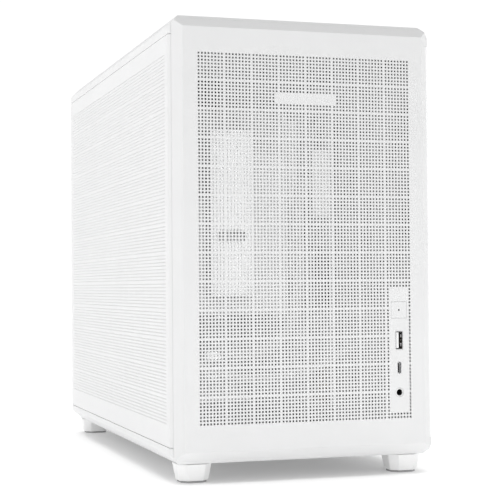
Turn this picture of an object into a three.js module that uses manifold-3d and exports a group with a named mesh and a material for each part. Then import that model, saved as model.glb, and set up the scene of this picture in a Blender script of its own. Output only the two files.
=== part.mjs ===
// Compact desktop computer tower: a white sheet-metal case with its working parts inside.
// Millimetres. +X is right as seen from the front, +Y points to the rear, +Z is up.
// The origin is the middle of the footprint, on the surface that the rubber feet rest on.
import * as THREE from 'three';
import { mergeVertices } from 'three/addons/utils/BufferGeometryUtils.js';
import Module from 'manifold-3d';

const wasm = await Module();
wasm.setup();

// ---------------------------------------------------------------- driving dimensions
const WIDTH = 194;
const DEPTH = 380;
const BODY_HEIGHT = 306.5;
const FOOT_HEIGHT = 13.3;
const SHEET = 1;            // steel sheet
const GAP = 0.3;            // clearance left between neighbouring pieces
const FRONT_CHAMFER = 8.6;  // around the four front edges
const TOP_CHAMFER = 7.6;    // along the top cover
const BASE_CHAMFER = 7;     // along the base pan
const TOP_SKIRT = 13.2;     // how far the top cover reaches down the sides
const BASE_SKIRT = 11.4;    // how far the base pan reaches up the sides
const FRONT_WRAP = 6.3;     // how far the front panel wraps back around the chamfer

const LEFT = -WIDTH / 2;
const RIGHT = WIDTH / 2;
const FRONT = -DEPTH / 2;
const BACK = DEPTH / 2;
const BASE = FOOT_HEIGHT;
const TOP = BASE + BODY_HEIGHT;
const TOP_SEAM = TOP - TOP_SKIRT;
const BASE_SEAM = BASE + BASE_SKIRT;
const PANEL_SEAM = FRONT + FRONT_WRAP;

const PANEL_SHEET = 0.8;      // the front panel's sheet

// Front sockets, on one vertical line
const PORT_X = 68.8;
const BUTTON_Z = BASE + 103.1;
const USB_A_Z = BASE + 81.6;
const USB_C_Z = BASE + 62.2;
const AUDIO_Z = BASE + 44.8;
const BUTTON_SIZE = 11.2;
const BUTTON_TRAVEL = 1.2;
const USB_A = { width: 5.8, height: 13.1, wall: 0.5, depth: 14 };
const USB_C = { width: 3.2, height: 8.9, wall: 0.4, depth: 9 };
const AUDIO = { ring: 2.95, bore: 2, depth: 13 };

// Chassis planes
const FRAME_Y = FRONT + 18;        // front face of the front frame
const REAR_Y = BACK - SHEET;       // inner face of the rear plate
const TRAY_X = 76;                 // component side of the motherboard tray
const FRAME_TOP = TOP_SEAM - 2.3;  // top of the front frame, underside of the top frame

// Motherboard, 244 mm square, standing on edge against the tray
const BOARD_SIZE = 244;
const BOARD_X = 68;                // component face
const BOARD_THICK = 1.6;
const BOARD_BACK = 186;
const BOARD_BOTTOM = 33;
const BOARD_FRONT = BOARD_BACK - BOARD_SIZE;
const BOARD_TOP = BOARD_BOTTOM + BOARD_SIZE;
const ON_BOARD = BOARD_X - GAP;    // where a component's foot sits

// Expansion slots
const SLOT_PITCH = 20.32;
const SLOT_COUNT = 4;
const FIRST_SLOT_Z = 47;
const slotHeight = (index) => FIRST_SLOT_Z + index * SLOT_PITCH;

// Fans
const FAN_SIZE = 120;
const FAN_DEPTH = 25;
const FAN_Z = 215;
const REAR_FAN = { x: -34, y: REAR_Y - 0.5 - FAN_DEPTH };
const COOLER_FAN = { x: -28, y: 43 };

// Power supply, hung behind the front frame with its fan towards the left side
const PSU = { x0: -93, x1: -7, y0: -168, y1: -18, z0: 115, z1: 255 };
const PSU_FAN = { y: (PSU.y0 + PSU.y1) / 2, z: (PSU.z0 + PSU.z1) / 2, bore: 61 };
const PSU_SOCKET = { x: -64, y: -143 };
const PSU_ROCKER = { x: -30, y: -143, tilt: THREE.MathUtils.degToRad(8) };
const MAINS = { x: PSU_SOCKET.x, z: BASE + 277 };

// Colours
const WHITE_PAINT = { color: 0xeceded, roughness: 0.5, metalness: 0 };
const WHITE_PLASTIC = { color: 0xf0f0ef, roughness: 0.55, metalness: 0 };
const LIGHT_STEEL = { color: 0xd9dadb, roughness: 0.45, metalness: 0.1 };
const BARE_STEEL = { color: 0xb4b6b8, roughness: 0.3, metalness: 1 };
const ALUMINIUM = { color: 0xc9cbcd, roughness: 0.35, metalness: 1 };
const BLACK_PLASTIC = { color: 0x1b1c1d, roughness: 0.5, metalness: 0 };
const GREY_RUBBER = { color: 0x6f7072, roughness: 0.85, metalness: 0 };
const WHITE_BOARD = { color: 0xdedfe0, roughness: 0.5, metalness: 0 };

// ---------------------------------------------------------------- solids
function toSolid(geometry) {
  const bare = geometry.clone();
  bare.deleteAttribute('normal');
  bare.deleteAttribute('uv');
  const merged = mergeVertices(bare, 1e-4);
  const index = merged.index.array;
  const kept = [];
  for (let i = 0; i < index.length; i += 3) {
    const [a, b, c] = [index[i], index[i + 1], index[i + 2]];
    if (a !== b && b !== c && c !== a) kept.push(a, b, c);
  }
  return new wasm.Manifold(new wasm.Mesh({
    numProp: 3,
    vertProperties: new Float32Array(merged.attributes.position.array),
    triVerts: new Uint32Array(kept),
  }));
}

function toGeometry(solid) {
  const { vertProperties, triVerts } = solid.getMesh();
  const geometry = new THREE.BufferGeometry();
  geometry.setAttribute('position', new THREE.BufferAttribute(new Float32Array(vertProperties), 3));
  geometry.setIndex(new THREE.BufferAttribute(new Uint32Array(triVerts), 1));
  return geometry;
}

function join(solids) {
  return solids.reduce((whole, piece) => whole.add(piece));
}

function cut(body, tools) {
  return tools.reduce((rest, tool) => rest.subtract(tool), body);
}

function box(x0, x1, y0, y1, z0, z1) {
  const geometry = new THREE.BoxGeometry(x1 - x0, y1 - y0, z1 - z0);
  geometry.translate((x0 + x1) / 2, (y0 + y1) / 2, (z0 + z1) / 2);
  return toSolid(geometry);
}

// A closed outline in the two axes across `axis`, in X, Y, Z order, from `start` to `end` along it.
const ACROSS = {
  x: [[0, 1, 0], [0, 0, 1], [1, 0, 0]],
  y: [[1, 0, 0], [0, 0, 1], [0, -1, 0]],
  z: [[1, 0, 0], [0, 1, 0], [0, 0, 1]],
};

function prism(axis, outline, start, end) {
  const shape = new THREE.Shape(outline.map(([u, v]) => new THREE.Vector2(u, v)));
  const geometry = new THREE.ExtrudeGeometry(shape, { depth: end - start, bevelEnabled: false });
  const basis = ACROSS[axis].map((direction) => new THREE.Vector3(...direction));
  geometry.applyMatrix4(new THREE.Matrix4().makeBasis(...basis));
  const offset = axis === 'y' ? end : start;
  const shift = new THREE.Vector3(axis === 'x' ? 1 : 0, axis === 'y' ? 1 : 0, axis === 'z' ? 1 : 0);
  geometry.translate(...shift.multiplyScalar(offset).toArray());
  return toSolid(geometry);
}

// A round bar along `axis`, centred on (u, v) in the other two axes.
function rod(axis, u, v, radius, start, end, sides = 20, endRadius = radius) {
  const geometry = new THREE.CylinderGeometry(endRadius, radius, end - start, sides);
  geometry.rotateX(Math.PI / 2);
  geometry.translate(0, 0, (start + end) / 2);
  if (axis === 'x') geometry.applyMatrix4(new THREE.Matrix4().makeBasis(
    new THREE.Vector3(0, 1, 0), new THREE.Vector3(0, 0, 1), new THREE.Vector3(1, 0, 0)));
  if (axis === 'y') geometry.applyMatrix4(new THREE.Matrix4().makeBasis(
    new THREE.Vector3(0, 0, 1), new THREE.Vector3(1, 0, 0), new THREE.Vector3(0, 1, 0)));
  const offset = { x: [0, u, v], y: [u, 0, v], z: [u, v, 0] }[axis];
  geometry.translate(...offset);
  return toSolid(geometry);
}

function tube(points, radius, steps, sides = 8) {
  const path = new THREE.CatmullRomCurve3(points.map((point) => new THREE.Vector3(...point)));
  const ring = new THREE.Shape();
  for (let i = 0; i < sides; i += 1) {
    const angle = (i / sides) * 2 * Math.PI;
    const corner = [radius * Math.cos(angle), radius * Math.sin(angle)];
    if (i === 0) ring.moveTo(...corner);
    else ring.lineTo(...corner);
  }
  return new THREE.ExtrudeGeometry(ring, { steps, extrudePath: path, bevelEnabled: false });
}

// A rectangle whose corners are cut at 45 degrees, each by its own amount.
function cutCorners(u0, u1, v0, v1, lowLeft, lowRight, highRight, highLeft) {
  const corners = [
    [u0, v0 + lowLeft], [u0 + lowLeft, v0],
    [u1 - lowRight, v0], [u1, v0 + lowRight],
    [u1, v1 - highRight], [u1 - highRight, v1],
    [u0 + highLeft, v1], [u0, v1 - highLeft],
  ];
  return corners.filter(([u, v], i) => {
    const [nextU, nextV] = corners[(i + 1) % corners.length];
    return u !== nextU || v !== nextV;
  });
}

// The outer shape of the case, moved inwards by `inset` on every face.
function caseShape(inset) {
  const loss = inset * (2 - Math.SQRT2);
  const front = FRONT_CHAMFER - loss;
  const top = TOP_CHAMFER - loss;
  const base = BASE_CHAMFER - loss;
  const [x0, x1] = [LEFT + inset, RIGHT - inset];
  const [y0, y1] = [FRONT + inset, BACK - inset];
  const [z0, z1] = [BASE + inset, TOP - inset];
  const along = prism('y', cutCorners(x0, x1, z0, z1, base, base, top, top), y0, y1);
  const beside = prism('x', cutCorners(y0, y1, z0, z1, front, base, top, front), x0, x1);
  const above = prism('z', cutCorners(x0, x1, y0, y1, front, front, 0, 0), z0, z1);
  return along.intersect(beside).intersect(above);
}

function caseSkin(thickness) {
  return caseShape(0).subtract(caseShape(thickness));
}

// ---------------------------------------------------------------- placing
const tower = new THREE.Group();

function place(name, shape, look, parent = tower) {
  const geometry = shape.isBufferGeometry ? shape : toGeometry(shape);
  const mesh = new THREE.Mesh(geometry, new THREE.MeshStandardMaterial({ ...look, flatShading: true }));
  mesh.name = name;
  parent.add(mesh);
  return mesh;
}

// ---------------------------------------------------------------- outer covers
const RIM_INSET = 1.6;   // the panel's inner rim, clear inside the side panels
const RIM_DEPTH = 16;

function frontPanel() {
  const face = caseSkin(PANEL_SHEET).intersect(box(LEFT, RIGHT, FRONT, PANEL_SEAM, BASE, TOP));
  const ring = (inset, y0, y1) =>
    caseShape(inset).subtract(caseShape(RIM_INSET + SHEET)).intersect(box(LEFT, RIGHT, y0, y1, BASE, TOP));
  const step = ring(PANEL_SHEET / 2, PANEL_SEAM - 1.5, PANEL_SEAM - 0.5);
  const rim = ring(RIM_INSET, PANEL_SEAM - 1.5, FRONT + RIM_DEPTH);
  const through = [FRONT - 1, FRONT + PANEL_SHEET + 1];
  const socketHole = (z, width, height) =>
    box(PORT_X - width / 2, PORT_X + width / 2, ...through, z - height / 2, z + height / 2);
  return cut(join([face, step, rim]), [
    socketHole(BUTTON_Z, BUTTON_SIZE + 2 * GAP, BUTTON_SIZE + 2 * GAP),
    socketHole(USB_A_Z, USB_A.width + 2 * GAP, USB_A.height + 2 * GAP),
    socketHole(USB_C_Z, USB_C.width + 2 * GAP, USB_C.height + 2 * GAP),
    rod('y', PORT_X, AUDIO_Z, AUDIO.ring + GAP, ...through),
  ]);
}

function sidePanel(side) {
  const reach = FRONT_CHAMFER;
  const [x0, x1] = side < 0 ? [LEFT, LEFT + reach] : [RIGHT - reach, RIGHT];
  const zone = box(x0, x1, PANEL_SEAM + GAP, BACK + 1, BASE_SEAM + GAP, TOP_SEAM - GAP);
  const rearLip = box(LEFT + SHEET, RIGHT - SHEET, REAR_Y - 1, BACK + 1, BASE, TOP);
  return caseSkin(SHEET).intersect(zone).subtract(rearLip);
}

function topPanel() {
  const zone = box(LEFT, RIGHT, PANEL_SEAM + GAP, BACK, TOP_SEAM, TOP);
  return caseSkin(SHEET).intersect(zone);
}

function basePan() {
  const zone = box(LEFT, RIGHT, PANEL_SEAM + GAP, BACK, BASE, BASE_SEAM);
  return caseSkin(SHEET).intersect(zone);
}

// ---------------------------------------------------------------- chassis
const FLANGE = 11;                     // depth of the folded edges
const SHEET_CLEARANCE = SHEET + 0.4;   // from the outside of the case to the chassis
const AIRWAY = { x0: -80, x1: 57, border: 14 };
const SOCKET_WINDOW = { x0: 62, x1: 79.75, low: 26, high: 122 };  // heights above the case bottom

function frontFrame() {
  const [x0, x1] = [LEFT + SHEET_CLEARANCE + SHEET, RIGHT - SHEET_CLEARANCE - SHEET];
  const [z0, z1] = [BASE + SHEET_CLEARANCE + BASE_CHAMFER, FRAME_TOP];
  const outer = box(x0, x1, FRAME_Y, FRAME_Y + FLANGE, z0, z1);
  const hollow = box(x0 + SHEET, x1 - SHEET, FRAME_Y + SHEET, FRAME_Y + FLANGE + 1, z0 + SHEET, z1 - SHEET);
  const airway = box(AIRWAY.x0, AIRWAY.x1, FRAME_Y - 1, FRAME_Y + 2, z0 + AIRWAY.border, z1 - AIRWAY.border);
  const socketWindow = box(SOCKET_WINDOW.x0, SOCKET_WINDOW.x1, FRAME_Y - 1, FRAME_Y + 2,
    BASE + SOCKET_WINDOW.low, BASE + SOCKET_WINDOW.high);
  return cut(outer, [hollow, airway, socketWindow]);
}

const TOP_WINDOW = { border: 14, bridge: 16, x0: -72.6, x1: 62 };

function topFrame() {
  const [x0, x1] = [LEFT + SHEET_CLEARANCE + SHEET, RIGHT - SHEET_CLEARANCE - SHEET];
  const [y0, y1] = [FRONT + RIM_DEPTH + 2 * GAP, REAR_Y - 2 * GAP];
  const plate = box(x0, x1, y0, y1, FRAME_TOP + GAP, FRAME_TOP + GAP + SHEET);
  const windowLength = (y1 - y0 - TOP_WINDOW.bridge) / 2 - TOP_WINDOW.border;
  const windows = [y0 + TOP_WINDOW.border, (y0 + y1 + TOP_WINDOW.bridge) / 2].map((start) =>
    box(TOP_WINDOW.x0, TOP_WINDOW.x1, start, start + windowLength, FRAME_TOP - 1, FRAME_TOP + 3));
  return cut(plate, windows);
}

const TRAY_TOP = FRAME_TOP - 1.5;
const STANDOFF_RADIUS = 3;
const STANDOFF_Y = [BOARD_FRONT + 8, BOARD_FRONT + 90, BOARD_BACK - 17];
const STANDOFF_Z = [BOARD_BOTTOM + 10, BOARD_BOTTOM + 118, BOARD_TOP - 8];

// Openings in the tray: [lowest y, highest y, lowest z, highest z]
const TRAY_OPENINGS = [
  [40, 150, 160, 262],                     // behind the cooler
  [-92, -66, 60, 110],                     // cables, low
  [-92, -66, 190, 250],                    // cables, high
  [118, 172, TRAY_TOP - 20, TRAY_TOP + 1], // notch for the processor's power cable
];

function motherboardTray() {
  const plate = box(TRAY_X, TRAY_X + SHEET, FRAME_Y + FLANGE + GAP, REAR_Y - 2 * GAP,
    BASE + BASE_CHAMFER + 2, TRAY_TOP);
  const openings = TRAY_OPENINGS.map(([y0, y1, z0, z1]) => box(TRAY_X - 1, TRAY_X + 2, y0, y1, z0, z1));
  const standoffs = STANDOFF_Y.flatMap((y) => STANDOFF_Z.map((z) =>
    rod('x', y, z, STANDOFF_RADIUS, BOARD_X + BOARD_THICK + GAP, TRAY_X + SHEET / 2, 6)));
  return cut(plate, openings).add(join(standoffs));
}

const SHIELD = { x0: 27.9, x1: 71.6, z0: 121.4, z1: 279.4 };
const SLOT_OPENING = { x0: -38, x1: 62, half: 6.2 };
const SLOT_COVER = { x0: -42, x1: 72, half: 9.2, tab: 12 };
const MAINS_CUTOUT = { halfWidth: 14.2, halfHeight: 10.5 };

function rearPlate() {
  const [x0, x1] = [LEFT + SHEET_CLEARANCE, RIGHT - SHEET_CLEARANCE];
  const [z0, z1] = [BASE_SEAM + GAP, TOP_SEAM - GAP];
  const outer = box(x0, x1, BACK - FLANGE, BACK, z0, z1);
  const hollow = box(x0 + SHEET, x1 - SHEET, BACK - FLANGE - 1, REAR_Y, z0 - 1, z1 + 1);
  const slots = [];
  for (let i = 0; i < SLOT_COUNT; i += 1) {
    slots.push(box(SLOT_OPENING.x0, SLOT_OPENING.x1, REAR_Y - 1, BACK + 1,
      slotHeight(i) - SLOT_OPENING.half, slotHeight(i) + SLOT_OPENING.half));
  }
  return cut(outer, [
    hollow, ...slots,
    box(SHIELD.x0 - GAP, SHIELD.x1 + GAP, REAR_Y - 1, BACK + 1, SHIELD.z0 - GAP, SHIELD.z1 + GAP),
    box(MAINS.x - MAINS_CUTOUT.halfWidth, MAINS.x + MAINS_CUTOUT.halfWidth, REAR_Y - 1, BACK + 1,
      MAINS.z - MAINS_CUTOUT.halfHeight, MAINS.z + MAINS_CUTOUT.halfHeight),
  ]);
}

function slotCover(index) {
  const { x0, x1, half, tab } = SLOT_COVER;
  const [z0, z1] = [slotHeight(index) - half, slotHeight(index) + half];
  const strip = box(x0, x1, REAR_Y - GAP - SHEET, REAR_Y - GAP, z0, z1);
  const folded = box(x1 - SHEET, x1, REAR_Y - tab, REAR_Y - GAP, z0, z1);
  return strip.add(folded);
}

const FOOT = { top: 25, bottom: 20.5, pad: 1, corner: 6, padInset: 1.2, padCorner: 4 };
const FOOT_X = 78;
const FRONT_FOOT_Y = FRONT + 21.5;
const REAR_FOOT_Y = BACK - 14;

function footBlock(x, y) {
  const layer = (size) => cutCorners(-size / 2, size / 2, -size / 2, size / 2,
    FOOT.corner, FOOT.corner, FOOT.corner, FOOT.corner);
  const height = BASE - GAP - FOOT.pad - GAP;
  const prismGeometry = new THREE.ExtrudeGeometry(
    new THREE.Shape(layer(FOOT.top).map(([u, v]) => new THREE.Vector2(u, v))),
    { depth: height, bevelEnabled: false });
  const position = prismGeometry.attributes.position;
  for (let i = 0; i < position.count; i += 1) {
    const low = position.getZ(i) < height / 2;
    const scale = low ? FOOT.bottom / FOOT.top : 1;
    position.setXY(i, position.getX(i) * scale, position.getY(i) * scale);
  }
  prismGeometry.translate(x, y, FOOT.pad + GAP);
  return toSolid(prismGeometry);
}

function footPad(x, y) {
  const half = FOOT.bottom / 2 - FOOT.padInset;
  const cut45 = [FOOT.padCorner, FOOT.padCorner, FOOT.padCorner, FOOT.padCorner];
  const outline = cutCorners(x - half, x + half, y - half, y + half, ...cut45);
  return prism('z', outline, 0, FOOT.pad);
}

// ---------------------------------------------------------------- front sockets and button
const IO_BOARD_X = PORT_X + AUDIO.ring + 0.35;
const IO_FRONT = FRONT + 5;   // clear behind the pressed button

function ioBoard() {
  return box(IO_BOARD_X, IO_BOARD_X + BOARD_THICK, IO_FRONT, IO_FRONT + 24, BASE + 34, BASE + 114);
}

function ioBracket() {
  const x = IO_BOARD_X + BOARD_THICK + GAP;
  const [z0, z1] = [BASE + 30, BASE + 118];
  const wall = box(x, x + SHEET, IO_FRONT, FRAME_Y - GAP, z0, z1);
  const ear = box(x, RIGHT - 6, FRAME_Y - GAP - SHEET, FRAME_Y - GAP, z0, z1);
  return wall.add(ear);
}

function usbAPort() {
  const { width, height, wall, depth } = USB_A;
  const [x0, x1] = [PORT_X - width / 2, PORT_X + width / 2];
  const [z0, z1] = [USB_A_Z - height / 2, USB_A_Z + height / 2];
  const [y0, y1] = [FRONT + 0.1, FRONT + depth];
  const shell = box(x0, x1, y0, y1, z0, z1);
  const cavity = box(x0 + wall, x1 - wall, y0 - 1, y1 - 2, z0 + wall, z1 - wall);
  const tongue = box(x0 + wall + 0.4, x0 + wall + 2.3, y0 + 0.8, y1 - 1, z0 + wall + 0.5, z1 - wall - 0.5);
  return shell.subtract(cavity).add(tongue);
}

function roundEnded(width, height, centreU, centreV, sides = 8) {
  const radius = width / 2;
  const points = [];
  const straight = height / 2 - radius;
  for (const [middle, start] of [[centreV + straight, 0], [centreV - straight, Math.PI]]) {
    for (let i = 0; i <= sides; i += 1) {
      const angle = start + (i / sides) * Math.PI;
      points.push([centreU + radius * Math.cos(angle), middle + radius * Math.sin(angle)]);
    }
  }
  return points;
}

function usbCPort() {
  const { width, height, wall, depth } = USB_C;
  const shell = prism('y', roundEnded(width, height, PORT_X, USB_C_Z), FRONT + 0.1, FRONT + depth);
  const cavity = prism('y', roundEnded(width - 2 * wall, height - 2 * wall, PORT_X, USB_C_Z),
    FRONT - 1, FRONT + depth - 1.5);
  const tongue = box(PORT_X - 0.35, PORT_X + 0.35, FRONT + 0.9, FRONT + depth - 1,
    USB_C_Z - 3.2, USB_C_Z + 3.2);
  return shell.subtract(cavity).add(tongue);
}

function audioJack() {
  const barrel = rod('y', PORT_X, AUDIO_Z, AUDIO.ring, FRONT + 0.1, FRONT + AUDIO.depth, 24);
  const bore = rod('y', PORT_X, AUDIO_Z, AUDIO.bore, FRONT - 1, FRONT + AUDIO.depth - 2, 16);
  return barrel.subtract(bore);
}

function powerButton() {
  const half = BUTTON_SIZE / 2;
  const square = (reach, y0, y1) =>
    box(PORT_X - reach, PORT_X + reach, y0, y1, BUTTON_Z - reach, BUTTON_Z + reach);
  const cap = square(half, FRONT, FRONT + 2.3);
  const flange = square(half + 0.9, FRONT + PANEL_SHEET + GAP, FRONT + 3.2);
  const stem = rod('y', PORT_X, BUTTON_Z, 1.5, FRONT + 3, FRONT + 4.2, 12);
  return join([cap, flange, stem]);
}

function powerSwitch() {
  const front = FRONT + 4.2 + BUTTON_TRAVEL + GAP;
  const body = box(PORT_X - 3, PORT_X + 3, front + 0.8, front + 5.5, BUTTON_Z - 3.1, BUTTON_Z + 3.1);
  const plunger = rod('y', PORT_X, BUTTON_Z, 1.6, front, front + 1, 12);
  return body.add(plunger);
}

// ---------------------------------------------------------------- fans
function fanFrame() {
  const half = FAN_SIZE / 2;
  const block = box(-half, half, -half, half, 0, FAN_DEPTH);
  const duct = rod('z', 0, 0, half - 2.5, -1, FAN_DEPTH + 1, 40);
  const motorCup = rod('z', 0, 0, 21, FAN_DEPTH - 3, FAN_DEPTH, 24);
  const struts = [0, 1, 2, 3].map((quarter) => {
    const bar = new THREE.BoxGeometry(half - 18, 3.4, 3);
    bar.translate(19 + (half - 18) / 2, 0, FAN_DEPTH - 1.5);
    bar.rotateZ(quarter * Math.PI / 2 + Math.PI / 7);
    return toSolid(bar);
  });
  const waist = [[-1, 0], [1, 0], [0, -1], [0, 1]].map(([u, v]) => {
    const groove = new THREE.BoxGeometry(u ? 8 : FAN_SIZE - 34, v ? 8 : FAN_SIZE - 34, FAN_DEPTH - 8);
    groove.translate(u * (half + 3), v * (half + 3), FAN_DEPTH / 2);
    return toSolid(groove);
  });
  return cut(block, [duct, ...waist]).add(join([motorCup, ...struts]));
}

function fanRotor(blades, tip, depth) {
  const hubRadius = 20;
  const hub = rod('z', 0, 0, hubRadius, 1.5, depth - 0.8, 24);
  const pitch = THREE.MathUtils.degToRad(40);
  const wings = [];
  for (let i = 0; i < blades; i += 1) {
    const chord = (depth - 5) / Math.sin(pitch);
    const wing = new THREE.BoxGeometry(tip - hubRadius + 3, chord, 1.8);
    wing.rotateX(pitch);
    wing.translate((tip + hubRadius - 3) / 2, 0, depth / 2);
    wing.rotateZ((i / blades) * 2 * Math.PI);
    wings.push(toSolid(wing));
  }
  return join([hub, ...wings]);
}

function addFan(name, x, y, frameLook, rotorLook) {
  const unit = new THREE.Group();
  unit.position.set(x, y, FAN_Z);
  unit.rotation.x = -Math.PI / 2;
  place(`${name}_frame`, fanFrame(), frameLook, unit);
  place(`${name}_rotor`, fanRotor(9, 54, FAN_DEPTH - 3.5), rotorLook, unit);
  tower.add(unit);
}

// ---------------------------------------------------------------- power supply
function psuHousing() {
  const { x0, x1, y0, y1, z0, z1 } = PSU;
  const shell = box(x0, x1, y0, y1, z0, z1)
    .subtract(box(x0 + SHEET, x1 - SHEET, y0 + SHEET, y1 - SHEET, z0 + SHEET, z1 - SHEET));
  const fanHole = rod('x', PSU_FAN.y, PSU_FAN.z, PSU_FAN.bore, x0 - 1, x0 + 2, 40);
  const socketHole = box(PSU_SOCKET.x - 14.2, PSU_SOCKET.x + 14.2, PSU_SOCKET.y - 10.4, PSU_SOCKET.y + 10.4,
    z1 - 2, z1 + 1);
  const rockerHole = box(PSU_ROCKER.x - 11, PSU_ROCKER.x + 11, PSU_ROCKER.y - 7.5, PSU_ROCKER.y + 7.5,
    z1 - 2, z1 + 1);
  return cut(shell, [fanHole, socketHole, rockerHole]);
}

function psuInlet() {
  const { x, y } = PSU_SOCKET;
  const body = box(x - 13.8, x + 13.8, y - 10, y + 10, PSU.z1 - 20, PSU.z1);
  const cavity = box(x - 12, x + 12, y - 8.3, y + 8.3, PSU.z1 - 16, PSU.z1 + 1);
  return body.subtract(cavity);
}

function psuRocker() {
  const body = prism('y', [[-9.4, 0.6], [-7, -5], [7, -5], [9.4, 0.6], [0, -0.8]], -6, 6);
  return toGeometry(body);
}

function psuFanGrille() {
  const x = PSU.x0 - 1.2;
  const wires = [18, 36, 54].map((radius) => {
    const ring = new THREE.TorusGeometry(radius, 0.8, 4, 20);
    ring.rotateY(Math.PI / 2);
    ring.translate(x, PSU_FAN.y, PSU_FAN.z);
    return toSolid(ring);
  });
  for (const turn of [Math.PI / 4, -Math.PI / 4]) {
    const spoke = new THREE.CylinderGeometry(0.8, 0.8, 2 * PSU_FAN.bore + 6, 6);
    spoke.rotateX(turn);
    spoke.translate(x, PSU_FAN.y, PSU_FAN.z);
    wires.push(toSolid(spoke));
  }
  return join(wires);
}

// The plate right behind the front mesh, and the shelf over the power supply; heights above the case bottom
const BRACKET = {
  x0: -69, x1: -39, low: 114, high: 227, thick: 1.2,
  slotWidth: 22, slotHeight: 9, slotAt: 155,
  shelfX0: -78, shelfX1: -12, shelfLength: 130,
};

function psuBracket() {
  const { x0, x1, thick, shelfX0, shelfX1, shelfLength } = BRACKET;
  const [z0, z1] = [BASE + BRACKET.low, BASE + BRACKET.high];
  const face = FRONT + PANEL_SHEET + GAP;
  const back = FRAME_Y - GAP;
  const shelfTop = PSU.z1 + GAP + thick;
  const plate = box(x0, x1, face, face + thick, z0, z1);
  const slot = roundEnded(BRACKET.slotHeight, BRACKET.slotWidth, BASE + BRACKET.slotAt, (x0 + x1) / 2)
    .map(([z, x]) => [x, z]);
  const window = prism('y', slot, face - 1, face + thick + 1);
  const webs = [x0, x1 - thick].map((x) => box(x, x + thick, face, back, z0, z1));
  const ears = box(-91, x0 + 1, back - thick, back, z1 - 44, z1 + 16);
  const riser = box(shelfX0, shelfX1, back - thick, back, z1 - 12, shelfTop);
  const shelf = box(shelfX0, shelfX1, back - thick, PSU.y0 + shelfLength, PSU.z1 + GAP, shelfTop);
  const socketRelief = box(-100, PSU_SOCKET.x + 15, PSU_SOCKET.y - 16, PSU_SOCKET.y + 16,
    PSU.z1, shelfTop + 1);
  const rockerRelief = box(PSU_ROCKER.x - 12, PSU_ROCKER.x + 12, PSU_ROCKER.y - 9, PSU_ROCKER.y + 9,
    PSU.z1, shelfTop + 1);
  return cut(join([plate.subtract(window), ...webs, ears, riser, shelf]), [socketRelief, rockerRelief]);
}

// ---------------------------------------------------------------- motherboard and what is on it
function motherboard() {
  return box(BOARD_X, BOARD_X + BOARD_THICK, BOARD_FRONT, BOARD_BACK, BOARD_BOTTOM, BOARD_TOP);
}

const CPU = { y: 95, z: FAN_Z };

function cpuSocket() {
  const frame = box(ON_BOARD - 3.4, ON_BOARD, CPU.y - 26, CPU.y + 26, CPU.z - 27, CPU.z + 27);
  const lid = box(ON_BOARD - 5, ON_BOARD - 3, CPU.y - 17, CPU.y + 17, CPU.z - 17, CPU.z + 17);
  return frame.add(lid);
}

const FIN_PITCH = 10;
const FIN_COUNT = 12;
const FIN_THICK = 1.2;

function coolerHeatsink() {
  const [y0, y1] = [COOLER_FAN.y + FAN_DEPTH + 0.6, 118];
  const fins = [];
  for (let i = 0; i < FIN_COUNT; i += 1) {
    const x = -86 + i * FIN_PITCH;
    fins.push(box(x, x + FIN_THICK, y0, y1, CPU.z - 58, CPU.z + 58));
  }
  const pipes = [];
  for (const y of [84, 104]) {
    for (const z of [CPU.z - 34, CPU.z + 34]) {
      pipes.push(rod('x', y, z, 3, -88, 44, 6));
      pipes.push(toSolid(new THREE.ExtrudeGeometry(
        new THREE.Shape([[3, 0], [0, 3], [-3, 0], [0, -3]].map(([u, v]) => new THREE.Vector2(u, v))),
        { steps: 1, extrudePath: new THREE.LineCurve3(
          new THREE.Vector3(43, y, z), new THREE.Vector3(58, y, CPU.z + Math.sign(z - CPU.z) * 12)) })));
    }
  }
  const plate = box(54, ON_BOARD - 5 - GAP, CPU.y - 24, CPU.y + 24, CPU.z - 22, CPU.z + 22);
  return join([...fins, ...pipes, plate]);
}

const BOARD_HEATSINKS = {
  vrm_heatsink: { height: 23.7, y: [138, 160], z: [168, 268], pitch: 9 },
  chipset_heatsink: { height: 9.7, y: [-30, 18], z: [56, 100], pitch: 8 },
  ssd_heatsink: { height: 8.7, y: [20, 102], z: [115, 139], pitch: 6 },
};
const HEATSINK_BASE = 6;

// A block whose grooves run along Y, standing on the board
function finnedBlock({ height, y: [y0, y1], z: [z0, z1], pitch }) {
  const grooves = [];
  for (let z = z0 + pitch; z < z1 - pitch / 2; z += pitch) {
    grooves.push(box(ON_BOARD - height - 1, ON_BOARD - HEATSINK_BASE, y0 - 1, y1 + 1, z, z + pitch / 2));
  }
  return cut(box(ON_BOARD - height, ON_BOARD, y0, y1, z0, z1), grooves);
}

const RAM_Z = { low: 141, high: 274 };
const RAM_Y = [23, 32];

function ramSlot(y) {
  const body = box(ON_BOARD - 7.5, ON_BOARD, y, y + 6.5, RAM_Z.low, RAM_Z.high);
  const groove = box(ON_BOARD - 9, ON_BOARD - 2, y + 2, y + 4.5, RAM_Z.low + 3, RAM_Z.high - 3);
  return body.subtract(groove);
}

function ramStick(y) {
  const card = box(ON_BOARD - 32, ON_BOARD - 2.4, y + 2.6, y + 3.9, RAM_Z.low + 3.5, RAM_Z.high - 3.5);
  const spreader = box(ON_BOARD - 34, ON_BOARD - 8, y, y + 6.5, RAM_Z.low + 1, RAM_Z.high - 1);
  return card.add(spreader);
}

const SOCKET_RISE = 12.7;

function boardSocket([y0, y1], [z0, z1]) {
  return box(ON_BOARD - SOCKET_RISE, ON_BOARD, y0, y1, z0, z1);
}

function pcieSlot() {
  const z = slotHeight(3);
  const body = box(ON_BOARD - 11, ON_BOARD, 52, 142, z - 3.7, z + 3.7);
  const groove = box(ON_BOARD - 12, ON_BOARD - 3, 54, 140, z - 1, z + 1);
  return body.subtract(groove);
}

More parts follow.
